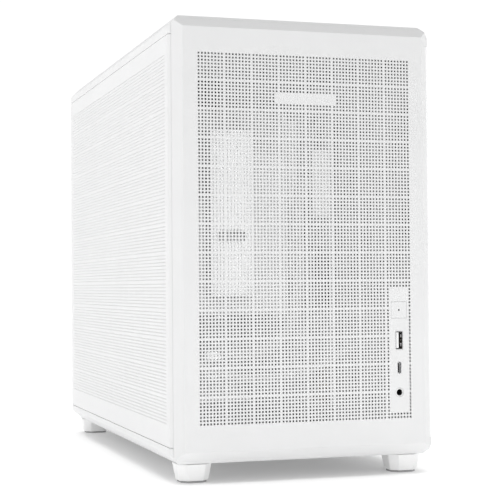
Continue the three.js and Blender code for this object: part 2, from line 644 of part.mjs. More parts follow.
// Rear sockets: [lowest z, highest z, nearest x, furthest x] of each opening in the shield
const REAR_PORTS = [
  [131, 145, 37, 53],
  [153, 168, 33, 64],
  [176, 191, 33, 64],
  [199, 216, 33, 64],
  [224, 239, 33, 64],
];
const AUDIO_PORTS_Z = [250, 263];
const AUDIO_PORTS_X = [36, 49, 62];
const AUDIO_BORE = 1.8;

function rearOpenings(y0, y1) {
  const sockets = REAR_PORTS.map(([z0, z1, x0, x1]) => box(x0, x1, y0, y1, z0, z1));
  for (const z of AUDIO_PORTS_Z) {
    for (const x of AUDIO_PORTS_X) sockets.push(rod('y', x, z, AUDIO_BORE, y0, y1, 10));
  }
  return sockets;
}

function ioShield() {
  const plate = box(SHIELD.x0, SHIELD.x1, REAR_Y, BACK, SHIELD.z0, SHIELD.z1);
  return cut(plate, rearOpenings(REAR_Y - 1, BACK + 1));
}

function rearPortBlock() {
  const block = box(31, ON_BOARD, 161, REAR_Y - GAP, 127, 270);
  return cut(block, rearOpenings(REAR_Y - 13, BACK));
}

// ---------------------------------------------------------------- mains inlet and cables
function mainsInlet() {
  const { x, z } = MAINS;
  const flange = box(x - 18, x + 18, REAR_Y - 3.3, REAR_Y - GAP, z - 12, z + 12);
  const nose = box(x - 13.8, x + 13.8, REAR_Y - 1, BACK - 0.1, z - 10, z + 10);
  const body = box(x - 13.8, x + 13.8, BACK - 22, REAR_Y - 1, z - 10, z + 10);
  const cavity = box(x - 12, x + 12, BACK - 17, BACK + 1, z - 8.3, z + 8.3);
  const pins = [[-7, 3], [0, 0.5], [7, 3]].map(([dx, dz]) =>
    box(x + dx - 1, x + dx + 1, BACK - 18, BACK - 2, z + dz - 2, z + dz + 2));
  return join([flange, nose, body]).subtract(cavity).add(join(pins));
}

const PLUG_EXIT_Z = PSU.z1 + 17;

function mainsPlug() {
  const { x, y } = PSU_SOCKET;
  const nose = box(x - 11.4, x + 11.4, y - 7.8, y + 7.8, PSU.z1 - 14, PSU.z1 + 2);
  const head = box(x - 14, x + 14, y - 10, y + 12, PSU.z1 + 0.5, PSU.z1 + 25);
  const relief = rod('y', x, PLUG_EXIT_Z, 6, y + 11, y + 38, 12, 4.2);
  return join([nose, head, relief]);
}

// Each route is the middle line of a cable, from its first end to its last.
const MAINS_ROUTE = [
  [MAINS.x, PSU_SOCKET.y + 38 + GAP, PLUG_EXIT_Z], [MAINS.x, -80, PLUG_EXIT_Z + 2],
  [MAINS.x, -45, 282], [MAINS.x, -5, 289], [MAINS.x, 60, 291], [MAINS.x, 120, MAINS.z],
  [MAINS.x, 150, MAINS.z], [MAINS.x, BACK - 22 - GAP, MAINS.z],
];
const BOARD_POWER_ROUTE = [
  [-30, -52, PSU.z0 - GAP], [-30, -53, 98], [-16, -56, 82], [12, -58, 84], [34, -57, 104],
  [42, -54, 140], [43, -51, 180], [43.5, -51, 205], [48, -51, 215.5], [54.7, -51, 216],
];
const CPU_POWER_ROUTE = [
  [-62, -52, PSU.z0 - GAP], [-62, -53, 96], [-40, -60, 72], [0, -72, 62], [45, -79, 70], [70, -79, 82],
  [84, -77, 88], [86, -60, 110], [86, 0, 190], [86, 70, 272], [86, 122, 292], [84, 136, 296],
  [74, 144, 297.5], [62, 144, 295], [60.5, 144, 284], [60.5, 144, 279.3],
];
const FRONT_PORTS_ROUTE = [
  [IO_BOARD_X + 0.8, FRONT + 29.8, 62], [IO_BOARD_X + 0.8, -153, 61], [70.5, -138, 51], [66, -112, 42],
  [62, -84, 39], [57, -60, 38.5], [52, -42, 40], [50.5, -26, 41.5], [55, -18, 41.5],
  [ON_BOARD - GAP, -16.5, 41.5],
];

// ---------------------------------------------------------------- assembly
place('base_pan', basePan(), WHITE_PAINT);
place('rear_plate', rearPlate(), WHITE_PAINT);
place('motherboard_tray', motherboardTray(), WHITE_PAINT);
place('front_frame', frontFrame(), WHITE_PAINT);
place('top_frame', topFrame(), WHITE_PAINT);
place('front_panel', frontPanel(), WHITE_PAINT);
place('side_panel_left', sidePanel(-1), WHITE_PAINT);
place('side_panel_right', sidePanel(1), WHITE_PAINT);
place('top_panel', topPanel(), WHITE_PAINT);

for (const [row, y] of [['front', FRONT_FOOT_Y], ['rear', REAR_FOOT_Y]]) {
  for (const [side, x] of [['left', -FOOT_X], ['right', FOOT_X]]) {
    place(`foot_${row}_${side}`, footBlock(x, y), WHITE_PLASTIC);
    place(`foot_pad_${row}_${side}`, footPad(x, y), GREY_RUBBER);
  }
}

for (let i = 0; i < SLOT_COUNT; i += 1) {
  place(`slot_cover_${i + 1}`, slotCover(i), LIGHT_STEEL);
}

place('io_bracket', ioBracket(), LIGHT_STEEL);
place('io_board', ioBoard(), WHITE_BOARD);
place('usb_a_port', usbAPort(), BARE_STEEL);
place('usb_c_port', usbCPort(), BARE_STEEL);
place('audio_jack', audioJack(), BLACK_PLASTIC);
place('power_switch', powerSwitch(), BLACK_PLASTIC);
place('power_button', powerButton(), WHITE_PLASTIC);

addFan('rear_fan', REAR_FAN.x, REAR_FAN.y, WHITE_PLASTIC, WHITE_PLASTIC);
addFan('cooler_fan', COOLER_FAN.x, COOLER_FAN.y, WHITE_PLASTIC, WHITE_PLASTIC);

place('psu_bracket', psuBracket(), WHITE_PAINT);
place('psu_housing', psuHousing(), WHITE_PAINT);
place('psu_fan_grille', psuFanGrille(), BARE_STEEL);
place('psu_inlet', psuInlet(), BLACK_PLASTIC);
const psuFan = place('psu_fan_rotor', fanRotor(7, 56, 20), WHITE_PLASTIC);
psuFan.position.set(PSU.x0 + 1.5, PSU_FAN.y, PSU_FAN.z);
psuFan.rotation.y = Math.PI / 2;
const rocker = place('psu_switch', psuRocker(), BLACK_PLASTIC);
rocker.position.set(PSU_ROCKER.x, PSU_ROCKER.y, PSU.z1 - 2.5);
rocker.rotation.y = -PSU_ROCKER.tilt;

place('motherboard', motherboard(), WHITE_BOARD);
place('cpu_socket', cpuSocket(), BARE_STEEL);
place('cooler_heatsink', coolerHeatsink(), ALUMINIUM);
for (const [name, block] of Object.entries(BOARD_HEATSINKS)) {
  place(name, finnedBlock(block), ALUMINIUM);
}
place('pcie_slot', pcieSlot(), WHITE_PLASTIC);
RAM_Y.forEach((y, i) => {
  place(`ram_slot_${i + 1}`, ramSlot(y), WHITE_PLASTIC);
  place(`ram_stick_${i + 1}`, ramStick(y), WHITE_PAINT);
});
place('atx_connector', boardSocket([-56, -46], [190, 242]), WHITE_PLASTIC);
place('eps_connector', boardSocket([134, 154], [270.5, 279]), WHITE_PLASTIC);
place('io_shield', ioShield(), BARE_STEEL);
place('rear_port_block', rearPortBlock(), BARE_STEEL);

place('mains_inlet', mainsInlet(), BLACK_PLASTIC);
place('mains_plug', mainsPlug(), BLACK_PLASTIC);
place('mains_lead', tube(MAINS_ROUTE, 3.5, 30), WHITE_PLASTIC);
place('board_power_cable', tube(BOARD_POWER_ROUTE, 4.5, 30), WHITE_PLASTIC);
place('cpu_power_cable', tube(CPU_POWER_ROUTE, 3, 56), WHITE_PLASTIC);
place('front_ports_cable', tube(FRONT_PORTS_ROUTE, 2.5, 30), WHITE_PLASTIC);

export default tower;
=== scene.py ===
"""Looks of the compact white desktop computer tower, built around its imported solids. Metres."""
import math
import random

import bmesh
import bpy
import numpy as np
from mathutils import Matrix, Vector


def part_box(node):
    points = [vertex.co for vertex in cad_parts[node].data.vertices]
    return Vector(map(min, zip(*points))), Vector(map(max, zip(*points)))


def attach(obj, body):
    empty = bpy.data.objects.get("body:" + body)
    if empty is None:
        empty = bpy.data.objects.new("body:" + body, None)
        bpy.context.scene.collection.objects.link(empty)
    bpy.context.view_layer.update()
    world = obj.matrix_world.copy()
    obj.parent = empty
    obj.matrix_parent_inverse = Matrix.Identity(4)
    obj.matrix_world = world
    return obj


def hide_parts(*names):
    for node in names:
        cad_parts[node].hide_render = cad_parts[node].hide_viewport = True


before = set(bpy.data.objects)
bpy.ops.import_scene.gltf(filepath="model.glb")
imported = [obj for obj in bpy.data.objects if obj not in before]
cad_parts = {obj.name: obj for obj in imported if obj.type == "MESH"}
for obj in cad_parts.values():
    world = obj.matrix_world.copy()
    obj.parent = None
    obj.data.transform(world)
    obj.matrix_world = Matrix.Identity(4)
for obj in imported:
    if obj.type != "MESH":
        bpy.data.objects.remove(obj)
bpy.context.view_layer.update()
scene = bpy.context.scene
MM = 0.001

# ------------------------------------------------------------------ camera
CAMERA_PLACE = Vector((-0.3249, -1.0885, 0.1341))
CAMERA_YAW = math.radians(17.508)
CAMERA_PITCH = math.radians(1.502)
CAMERA_ROLL = math.radians(-0.446)
CAMERA_LENS = 99.02


def add_camera():
    ahead = Vector((math.sin(CAMERA_YAW) * math.cos(CAMERA_PITCH),
                    math.cos(CAMERA_YAW) * math.cos(CAMERA_PITCH),
                    math.sin(CAMERA_PITCH)))
    level = Vector((math.cos(CAMERA_YAW), -math.sin(CAMERA_YAW), 0))
    above = level.cross(ahead)
    right = level * math.cos(CAMERA_ROLL) + above * math.sin(CAMERA_ROLL)
    up = above * math.cos(CAMERA_ROLL) - level * math.sin(CAMERA_ROLL)
    camera = bpy.data.objects.new("camera", bpy.data.cameras.new("camera"))
    turn = Matrix((right, up, -ahead)).transposed().to_4x4()
    camera.matrix_world = Matrix.Translation(CAMERA_PLACE) @ turn
    camera.data.lens = CAMERA_LENS
    camera.data.sensor_width = 36
    camera.data.clip_start = 0.05
    camera.data.clip_end = 200
    scene.collection.objects.link(camera)
    scene.camera = camera


# ------------------------------------------------------------------ sizes, from the frame
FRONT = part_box("front_panel")[0].y
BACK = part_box("rear_plate")[1].y
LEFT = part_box("side_panel_left")[0].x
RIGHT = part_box("side_panel_right")[1].x
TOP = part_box("top_panel")[1].z
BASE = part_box("base_pan")[0].z
SHEET = 1.0 * MM
FRONT_SHEET = 0.8 * MM
SIDE_SHEET = 0.7 * MM

# Square holes in groups of eight
HOLE = 1.3 * MM
SIDE_HOLE = 0.86 * MM
HOLE_PITCH = 2.368 * MM
GROUP = 8
GROUP_GAP = 0.71 * MM
MARGIN = (HOLE_PITCH + GROUP_GAP) / 2
FIELD_HEIGHT = BASE + 153.6 * MM  # middle of the front and side fields
FRONT_COLUMNS = 64
ROWS = 104
SIDE_COLUMNS = 144
SIDE_FIELD_MIDDLE = FRONT + 192.35 * MM
# Plain patches in the front field: first and last column, first and last row from the top
SOCKET_PATCH = (57, 62, 66, 101)
NAME_PATCH = (23, 40, 11, 13)
TOP_COLUMNS = 64
EDGE_RADIUS = 0.35 * MM
BOARD_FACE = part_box("motherboard")[0].x

# The button and the sockets, down one line; BUTTON_LINE is the gap round the button's cap
PORT_X = sum(p.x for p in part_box("usb_a_port")) / 2
BUTTON_Z = sum(p.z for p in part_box("power_button")) / 2
USB_A_Z = sum(p.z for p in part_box("usb_a_port")) / 2
USB_C_Z = sum(p.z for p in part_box("usb_c_port")) / 2
AUDIO_Z = sum(p.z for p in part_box("audio_jack")) / 2
BUTTON_CAP = 11.5 * MM
BUTTON_LINE = 0.13 * MM
BUTTON_DOT = 0.65 * MM
USB_A_SIZE = (5.8 * MM, 13.1 * MM)
USB_C_SIZE = (3.2 * MM, 8.9 * MM)
AUDIO_RING = 5.9 * MM
AUDIO_BORE = 2.35 * MM
SOCKET_GAP = 0.1 * MM
AUDIO_GAP = 2.2 * SOCKET_GAP
# How far a cutting tool runs past the sheet
REACH = 4 * MM


# ------------------------------------------------------------------ materials
def new_material(name):
    material = bpy.data.materials.new(name)
    material.use_nodes = True
    nodes = material.node_tree.nodes
    shader = nodes["Principled BSDF"]
    return material, nodes, material.node_tree.links, shader


def add_noise(nodes, links, scale, detail=2.0, stretch=(1, 1, 1)):
    place = nodes.new("ShaderNodeTexCoord")
    mapping = nodes.new("ShaderNodeMapping")
    mapping.inputs["Scale"].default_value = stretch
    links.new(place.outputs["Object"], mapping.inputs["Vector"])
    noise = nodes.new("ShaderNodeTexNoise")
    noise.inputs["Scale"].default_value = scale
    noise.inputs["Detail"].default_value = detail
    links.new(mapping.outputs["Vector"], noise.inputs["Vector"])
    return noise.outputs["Fac"]


def vary_colour(nodes, links, fac, dark, light, target):
    ramp = nodes.new("ShaderNodeValToRGB")
    ramp.color_ramp.elements[0].position = 0.3
    ramp.color_ramp.elements[0].color = (*dark, 1)
    ramp.color_ramp.elements[1].position = 0.7
    ramp.color_ramp.elements[1].color = (*light, 1)
    links.new(fac, ramp.inputs["Fac"])
    links.new(ramp.outputs["Color"], target)


def add_ramp(nodes, links, value, given, made):
    """A value carried from one span to another, and held at its ends."""
    ramp = nodes.new("ShaderNodeMapRange")
    ramp.inputs["From Min"].default_value, ramp.inputs["From Max"].default_value = given
    ramp.inputs["To Min"].default_value, ramp.inputs["To Max"].default_value = made
    links.new(value, ramp.inputs["Value"])
    return ramp.outputs["Result"]


def vary_value(nodes, links, fac, low, high, target):
    links.new(add_ramp(nodes, links, fac, (0.3, 0.7), (low, high)), target)


def add_bump(nodes, links, fac, distance, strength, shader):
    bump = nodes.new("ShaderNodeBump")
    bump.inputs["Distance"].default_value = distance
    bump.inputs["Strength"].default_value = strength
    links.new(fac, bump.inputs["Height"])
    links.new(bump.outputs["Normal"], shader.inputs["Normal"])


def grained(name, colour, spread, roughness, grain, relief, metallic=0.0, stretch=(1, 1, 1), coat=0.0):
    """A surface whose tone, gloss and fine relief follow one grain of noise."""
    material, nodes, links, shader = new_material(name)
    fac = add_noise(nodes, links, grain, 3.0, stretch)
    broad = add_noise(nodes, links, grain / 40, 2.0, stretch)
    dark = tuple(c * (1 - spread) for c in colour)
    light = tuple(min(1.0, c * (1 + spread)) for c in colour)
    vary_colour(nodes, links, broad, dark, light, shader.inputs["Base Color"])
    vary_value(nodes, links, fac, roughness[0], roughness[1], shader.inputs["Roughness"])
    add_bump(nodes, links, fac, relief, 0.5, shader)
    shader.inputs["Metallic"].default_value = metallic
    shader.inputs["Coat Weight"].default_value = coat
    return material


def powder_coat():
    return grained("powder_coat", (0.8, 0.802, 0.804), 0.008, (0.42, 0.56), 1500, 0.00004)


def moulded_white():
    return grained("moulded_white", (0.92, 0.921, 0.92), 0.006, (0.38, 0.5), 2200, 0.00003)


def inner_paint():
    return grained("inner_paint", (0.8, 0.802, 0.805), 0.012, (0.35, 0.5), 1200, 0.00004)


def foot_rubber():
    return grained("foot_rubber", (0.4, 0.4, 0.405), 0.05, (0.7, 0.9), 900, 0.0001)


def nickel_steel():
    return grained("nickel_steel", (0.62, 0.62, 0.63), 0.05, (0.22, 0.36), 900, 0.00001, 1.0, (1, 1, 12))


def satin_aluminium():
    return grained("satin_aluminium", (0.8, 0.81, 0.82), 0.03, (0.3, 0.42), 700, 0.00001, 1.0, (1, 14, 1))


def black_plastic():
    return grained("black_plastic", (0.022, 0.022, 0.024), 0.15, (0.35, 0.5), 1800, 0.00004)


def cable_jacket():
    return grained("cable_jacket", (0.78, 0.78, 0.775), 0.02, (0.45, 0.6), 800, 0.00005)


def circuit_board():
    material, nodes, links, shader = new_material("circuit_board")
    place = nodes.new("ShaderNodeTexCoord")
    turn = nodes.new("ShaderNodeMapping")
    turn.inputs["Rotation"].default_value = (0, math.pi / 2, 0)
    links.new(place.outputs["Object"], turn.inputs["Vector"])
    tracks = nodes.new("ShaderNodeTexBrick")
    tracks.inputs["Scale"].default_value = 90
    tracks.inputs["Mortar Size"].default_value = 0.012
    tracks.inputs["Color1"].default_value = (0.74, 0.745, 0.75, 1)
    tracks.inputs["Color2"].default_value = (0.7, 0.705, 0.712, 1)
    tracks.inputs["Mortar"].default_value = (0.6, 0.605, 0.61, 1)
    links.new(turn.outputs["Vector"], tracks.inputs["Vector"])
    links.new(tracks.outputs["Color"], shader.inputs["Base Color"])
    fac = add_noise(nodes, links, 600)
    vary_value(nodes, links, fac, 0.3, 0.42, shader.inputs["Roughness"])
    add_bump(nodes, links, tracks.outputs["Fac"], 0.00003, 0.4, shader)
    return material


MATERIALS = {
    "white_paint": powder_coat(),
    "white_plastic": moulded_white(),
    "inner_paint": inner_paint(),
    "foot_rubber": foot_rubber(),
    "light_steel": grained("light_steel", (0.78, 0.785, 0.79), 0.015, (0.35, 0.48), 1000, 0.00003),
    "nickel_steel": nickel_steel(),
    "aluminium": satin_aluminium(),
    "black_plastic": black_plastic(),
    "circuit_board": circuit_board(),
    "cable_jacket": cable_jacket(),
    "gold": grained("gold", (0.83, 0.66, 0.36), 0.03, (0.25, 0.35), 900, 0.00001, 1.0),
}


def paint(obj, look):
    obj.data.materials.clear()
    obj.data.materials.append(MATERIALS[look])
    return obj


# ------------------------------------------------------------------ mesh helpers
def new_piece(name, mesh, look, body):
    obj = bpy.data.objects.new(name, mesh)
    scene.collection.objects.link(obj)
    paint(obj, look)
    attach(obj, body)
    return obj


def baked_mesh(obj):
    """The mesh of obj with its modifiers applied."""
    seen = obj.evaluated_get(bpy.context.evaluated_depsgraph_get())
    return bpy.data.meshes.new_from_object(seen)


def box_mesh(low, high):
    mesh = bpy.data.meshes.new("box")
    bm = bmesh.new()
    size = Vector(high) - Vector(low)
    middle = (Vector(high) + Vector(low)) / 2
    bmesh.ops.create_cube(bm, size=1, matrix=Matrix.Translation(middle) @ Matrix.Diagonal((*size, 1)))
    bm.to_mesh(mesh)
    bm.free()
    return mesh


def welded_copy(node):
    """A copy of a CAD node's mesh whose shared points are one."""
    bm = bmesh.new()
    bm.from_mesh(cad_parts[node].data)
    bmesh.ops.remove_doubles(bm, verts=bm.verts, dist=1e-6)
    bmesh.ops.dissolve_limit(bm, angle_limit=0.01, verts=bm.verts, edges=bm.edges)
    mesh = bpy.data.meshes.new(node)
    bm.to_mesh(mesh)
    bm.free()
    return mesh


def with_modifiers(mesh, *settings):
    """The mesh after a stack of modifiers, each given as (type, {setting: value})."""
    obj = bpy.data.objects.new("working", mesh)
    scene.collection.objects.link(obj)
    for kind, values in settings:
        modifier = obj.modifiers.new(kind, kind)
        for key, value in values.items():
            setattr(modifier, key, value)
    made = baked_mesh(obj)
    bpy.data.objects.remove(obj)
    return made


def bevelled(mesh, width, segments=2, angle=30):
    return with_modifiers(mesh, ("BEVEL", {
        "width": width, "segments": segments, "limit_method": "ANGLE",
        "angle_limit": math.radians(angle), "use_clamp_overlap": True}))


def combined(mesh, other, operation):
    tool = bpy.data.objects.new("tool", other)
    scene.collection.objects.link(tool)
    made = with_modifiers(mesh, ("BOOLEAN", {"object": tool, "operation": operation, "solver": "EXACT"}))
    bpy.data.objects.remove(tool)
    return made


def prism_mesh(outline, y0, y1):
    """A prism along Y whose outline lists (x, z) points, turning from X towards Z."""
    count = len(outline)
    points = [(x, y0, z) for x, z in outline] + [(x, y1, z) for x, z in outline]
    faces = [tuple(range(count)), tuple(reversed(range(count, 2 * count)))]
    for i in range(count):
        j = (i + 1) % count
        faces.append((j, i, count + i, count + j))
    mesh = bpy.data.meshes.new("prism")
    mesh.from_pydata(points, [], faces)
    return mesh


def rounded_outline(width, height, middle_x, middle_z, radius, steps=8):
    """An upright rectangle with rounded corners, as (x, z) points."""
    points = []
    for quarter, (sx, sz) in enumerate(((1, 1), (-1, 1), (-1, -1), (1, -1))):
        cx = middle_x + sx * (width / 2 - radius)
        cz = middle_z + sz * (height / 2 - radius)
        for i in range(steps + 1):
            angle = (quarter + i / steps) * math.pi / 2
            points.append((cx + radius * math.cos(angle), cz + radius * math.sin(angle)))
    return points


def pill_mesh(size, z, y0, y1, grow=0.0, corner=None):
    """A round-ended bar along Y at the sockets' place, `grow` larger all round."""
    width, height = size[0] + 2 * grow, size[1] + 2 * grow
    radius = min(width, height) / 2 * 0.999 if corner is None else corner
    return prism_mesh(rounded_outline(width, height, PORT_X, z, radius), y0, y1)


def ring_mesh(size, z, y0, y1, wall, corner=None):
    """A round-ended tube along Y, open at both ends."""
    outer = pill_mesh(size, z, y0, y1, 0.0, corner)
    return combined(outer, pill_mesh(size, z, y0 - REACH, y1 + REACH, -wall, corner), "DIFFERENCE")


def without_box(mesh, low, high):
    return combined(mesh, box_mesh(low, high), "DIFFERENCE")


def joined(meshes):
    bm = bmesh.new()
    for mesh in meshes:
        bm.from_mesh(mesh)
    made = bpy.data.meshes.new("joined")
    bm.to_mesh(made)
    bm.free()
    return made


# ------------------------------------------------------------------ perforated sheets
def hole_centres(count, middle):
    """Centres of a row of holes in groups of eight, about a middle."""
    at = [i * HOLE_PITCH + (i // GROUP) * GROUP_GAP for i in range(count)]
    return [a - at[-1] / 2 + middle for a in at]


def sheet_lines(centres, hole=HOLE, margin=MARGIN):
    """The lines across a row of holes: the sheet's two edges and each hole's two edges."""
    lines = [centres[0] - margin]
    for centre in centres:
        lines += [centre - hole / 2, centre + hole / 2]
    return lines + [centres[-1] + margin]


def patch_lines(first_column, last_column, first_row, last_row):
    """Positions, in the lines across the field, of the hole edges round a plain patch."""
    low_row = ROWS - 1 - last_row
    high_row = ROWS - 1 - first_row
    return 2 * first_column, 2 * last_column + 3, 2 * low_row, 2 * high_row + 3


def wall_faces(before, after, start, end, count):
    """A wall through the sheet wherever a solid cell meets an open one, along one family of lines."""
    edge = before != after
    wall = np.stack([start[edge], start[edge] + count, end[edge] + count, end[edge]], 1)
    flip = before[edge]
    wall[flip] = wall[flip][:, ::-1]
    return wall


def lattice_mesh(us, vs, solid, outer, inner, axes):
    """A closed sheet from outer to inner along its third axis, solid in the marked cells."""
    count = len(us) * len(vs)
    grid = np.stack(np.meshgrid(us, vs, indexing="ij"), -1).reshape(-1, 2)
    layers = [np.column_stack([grid, np.full(count, level)]) for level in (outer, inner)]
    points = np.concatenate(layers) @ np.array(axes, float)
    index = np.arange(count).reshape(len(us), len(vs))
    face = np.stack([index[:-1, :-1][solid], index[1:, :-1][solid],
                     index[1:, 1:][solid], index[:-1, 1:][solid]], 1)
    padded = np.pad(solid, 1)
    across = wall_faces(padded[:-1, 1:-1], padded[1:, 1:-1], index[:, :-1], index[:, 1:], count)
    upward = wall_faces(padded[1:-1, :-1], padded[1:-1, 1:], index[:-1, :], index[1:, :], count)
    # The walls that face across would face into the sheet, so they are turned over
    faces = np.concatenate([face, face[:, ::-1] + count, across[:, ::-1], upward])
    used, renumbered = np.unique(faces, return_inverse=True)
    mesh = bpy.data.meshes.new("lattice")
    mesh.from_pydata(points[used].tolist(), [], renumbered.reshape(-1, 4).tolist())
    return mesh


def perforated(us, vs, outer, axes, thick, islands=(), has_hole=None):
    """The mesh of a perforated sheet, left open where an island of plain sheet goes."""
    solid = np.ones((len(us) - 1, len(vs) - 1), bool)
    solid[1::2, 1::2] = False
    if has_hole:
        for i in range(1, len(us) - 1, 2):
            for j in range(1, len(vs) - 1, 2):
                solid[i, j] = not has_hole((us[i] + us[i + 1]) / 2, (vs[j] + vs[j + 1]) / 2)
    for u0, u1, v0, v1 in islands:
        solid[u0:u1, v0:v1] = False
    return lattice_mesh(us, vs, solid, outer, outer - thick, axes)


# Each sheet's own axes: across, up and outwards
FACING_FRONT = ((1, 0, 0), (0, 0, 1), (0, -1, 0))
FACING_LEFT = ((0, -1, 0), (0, 0, 1), (-1, 0, 0))
FACING_RIGHT = ((0, 1, 0), (0, 0, 1), (1, 0, 0))
FACING_UP = ((1, 0, 0), (0, 1, 0), (0, 0, 1))
FACING_BACK = ((-1, 0, 0), (0, 0, 1), (0, 1, 0))


def socket_plate(x0, x1, z0, z1):
    """The plain patch round the button and the sockets, with a close-fitting hole for each."""
    mesh = box_mesh((x0, FRONT, z0), (x1, FRONT + FRONT_SHEET, z1))
    span = (FRONT - REACH, FRONT + REACH)
    half = BUTTON_CAP / 2 + BUTTON_LINE
    holes = [box_mesh((PORT_X - half, span[0], BUTTON_Z - half),
                      (PORT_X + half, span[1], BUTTON_Z + half)),
             pill_mesh(USB_A_SIZE, USB_A_Z, *span, SOCKET_GAP, corner=0.5 * MM),
             pill_mesh(USB_C_SIZE, USB_C_Z, *span, SOCKET_GAP),
             pill_mesh((AUDIO_RING, AUDIO_RING), AUDIO_Z, *span, AUDIO_GAP)]
    for hole in holes:
        mesh = combined(mesh, hole, "DIFFERENCE")
    return mesh


def add_front_panel():
    columns = sheet_lines(hole_centres(FRONT_COLUMNS, 0))
    rows = sheet_lines(hole_centres(ROWS, FIELD_HEIGHT))
    islands = [patch_lines(*SOCKET_PATCH), patch_lines(*NAME_PATCH)]
    solid = bevelled(welded_copy("front_panel"), EDGE_RADIUS)
    low = (columns[0], FRONT - REACH, rows[0])
    high = (columns[-1], FRONT + REACH, rows[-1])
    parts = [without_box(solid, low, high)]
    u0, u1, v0, v1 = islands[0]
    parts.append(socket_plate(columns[u0], columns[u1], rows[v0], rows[v1]))
    u0, u1, v0, v1 = islands[1]
    parts.append(box_mesh((columns[u0], FRONT, rows[v0]), (columns[u1], FRONT + FRONT_SHEET, rows[v1])))
    shell = new_piece("front_panel_frame", joined(parts), "white_paint", "front_panel")
    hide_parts("front_panel")
    mesh = perforated(columns, rows, -FRONT, FACING_FRONT, FRONT_SHEET, islands)
    new_piece("front_panel_mesh", mesh, "white_paint", "front_panel")


def add_side_panel(side):
    node = f"side_panel_{side}"
    facing = FACING_LEFT if side == "left" else FACING_RIGHT
    sign = -1 if side == "left" else 1
    outer = sign * (LEFT if side == "left" else RIGHT)
    centres = hole_centres(SIDE_COLUMNS, SIDE_FIELD_MIDDLE)
    rows = sheet_lines(hole_centres(ROWS, FIELD_HEIGHT), SIDE_HOLE)
    low = (sign * outer - REACH, centres[0] - MARGIN, rows[0])
    high = (sign * outer + REACH, centres[-1] + MARGIN, rows[-1])
    solid = bevelled(welded_copy(node), EDGE_RADIUS)
    shell = new_piece(f"{node}_frame", without_box(solid, low, high), "white_paint", node)
    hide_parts(node)
    half = SIDE_COLUMNS // 2
    for part, chosen in (("front", centres[:half]), ("rear", centres[half:])):
        along = sheet_lines(chosen, SIDE_HOLE)
        if side == "left":
            along = [-y for y in reversed(along)]
        mesh = perforated(along, rows, outer, facing, SIDE_SHEET)
        new_piece(f"{node}_mesh_{part}", mesh, "white_paint", node)


def rod_mesh(start, end, radius, sides=24, end_radius=None):
    """A round bar from start to end."""
    bm = bmesh.new()
    line = Vector(end) - Vector(start)
    turn = line.to_track_quat("Z", "Y").to_matrix().to_4x4()
    bmesh.ops.create_cone(bm, cap_ends=True, segments=sides, radius1=radius,
                          radius2=radius if end_radius is None else end_radius, depth=line.length,
                          matrix=Matrix.Translation((Vector(start) + Vector(end)) / 2) @ turn)
    mesh = bpy.data.meshes.new("rod")
    bm.to_mesh(mesh)
    bm.free()
    return mesh


def add_power_button():
    low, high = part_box("power_button")
    half = BUTTON_CAP / 2
    cap_back = FRONT + 2.3 * MM
    lamp_front, lamp_back = FRONT + 0.35 * MM, FRONT + 0.6 * MM
    flange_front, flange_back = FRONT + FRONT_SHEET + 0.3 * MM, FRONT + 3.2 * MM
    stem_front, stem_radius = FRONT + 3 * MM, 1.5 * MM
    cap = bevelled(box_mesh((PORT_X - half, FRONT, BUTTON_Z - half),
                            (PORT_X + half, cap_back, BUTTON_Z + half)), 0.12 * MM)
    lamp_hole = rod_mesh((PORT_X, FRONT - REACH, BUTTON_Z), (PORT_X, lamp_back, BUTTON_Z), BUTTON_DOT)
    flange = box_mesh((low.x, flange_front, low.z), (high.x, flange_back, high.z))
    stem = rod_mesh((PORT_X, stem_front, BUTTON_Z), (PORT_X, high.y, BUTTON_Z), stem_radius)
    parts = joined([combined(cap, lamp_hole, "DIFFERENCE"), flange, stem])
    button = new_piece("power_button_cap", parts, "white_paint", "power_button")
    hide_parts("power_button")
    lamp = rod_mesh((PORT_X, lamp_front, BUTTON_Z), (PORT_X, lamp_back, BUTTON_Z), BUTTON_DOT)
    new_piece("power_button_lamp", lamp, "black_plastic", "power_button")


def add_usb_a():
    low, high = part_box("usb_a_port")
    wall, corner = 0.35 * MM, 0.45 * MM
    shell = new_piece("usb_a_shell", ring_mesh(USB_A_SIZE, USB_A_Z, low.y, high.y, wall, corner),
                      "nickel_steel", "chassis")
    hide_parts("usb_a_port")
    tongue_x, tongue_thick, end_gap = low.x + 0.95 * MM, 1.9 * MM, 0.9 * MM
    tongue = box_mesh((tongue_x, low.y + 0.7 * MM, low.z + end_gap),
                      (tongue_x + tongue_thick, high.y - MM, high.z - end_gap))
    new_piece("usb_a_tongue", bevelled(tongue, 0.15 * MM), "white_plastic", "chassis")
    inset = 0.4 * MM
    back = box_mesh((low.x + inset, high.y - 2 * MM, low.z + inset),
                    (high.x - inset, high.y - 0.5 * MM, high.z - inset))
    new_piece("usb_a_back", back, "black_plastic", "chassis")
    first, pitch, half, proud = low.z + 2.9 * MM, 2.4 * MM, 0.5 * MM, 0.15 * MM
    contacts = []
    for i in range(4):
        z = first + i * pitch
        contacts.append(box_mesh((tongue_x + tongue_thick - 0.05 * MM, low.y + 1.5 * MM, z - half),
                                 (tongue_x + tongue_thick + proud, high.y - 2 * MM, z + half)))
    new_piece("usb_a_contacts", joined(contacts), "gold", "chassis")
    springs = []
    for z in (USB_A_Z - 3 * MM, USB_A_Z + 3 * MM):
        springs.append(box_mesh((high.x - 0.75 * MM, low.y + 3 * MM, z - MM),
                                (high.x - 0.3 * MM, low.y + 7 * MM, z + MM)))
    new_piece("usb_a_springs", joined(springs), "nickel_steel", "chassis")


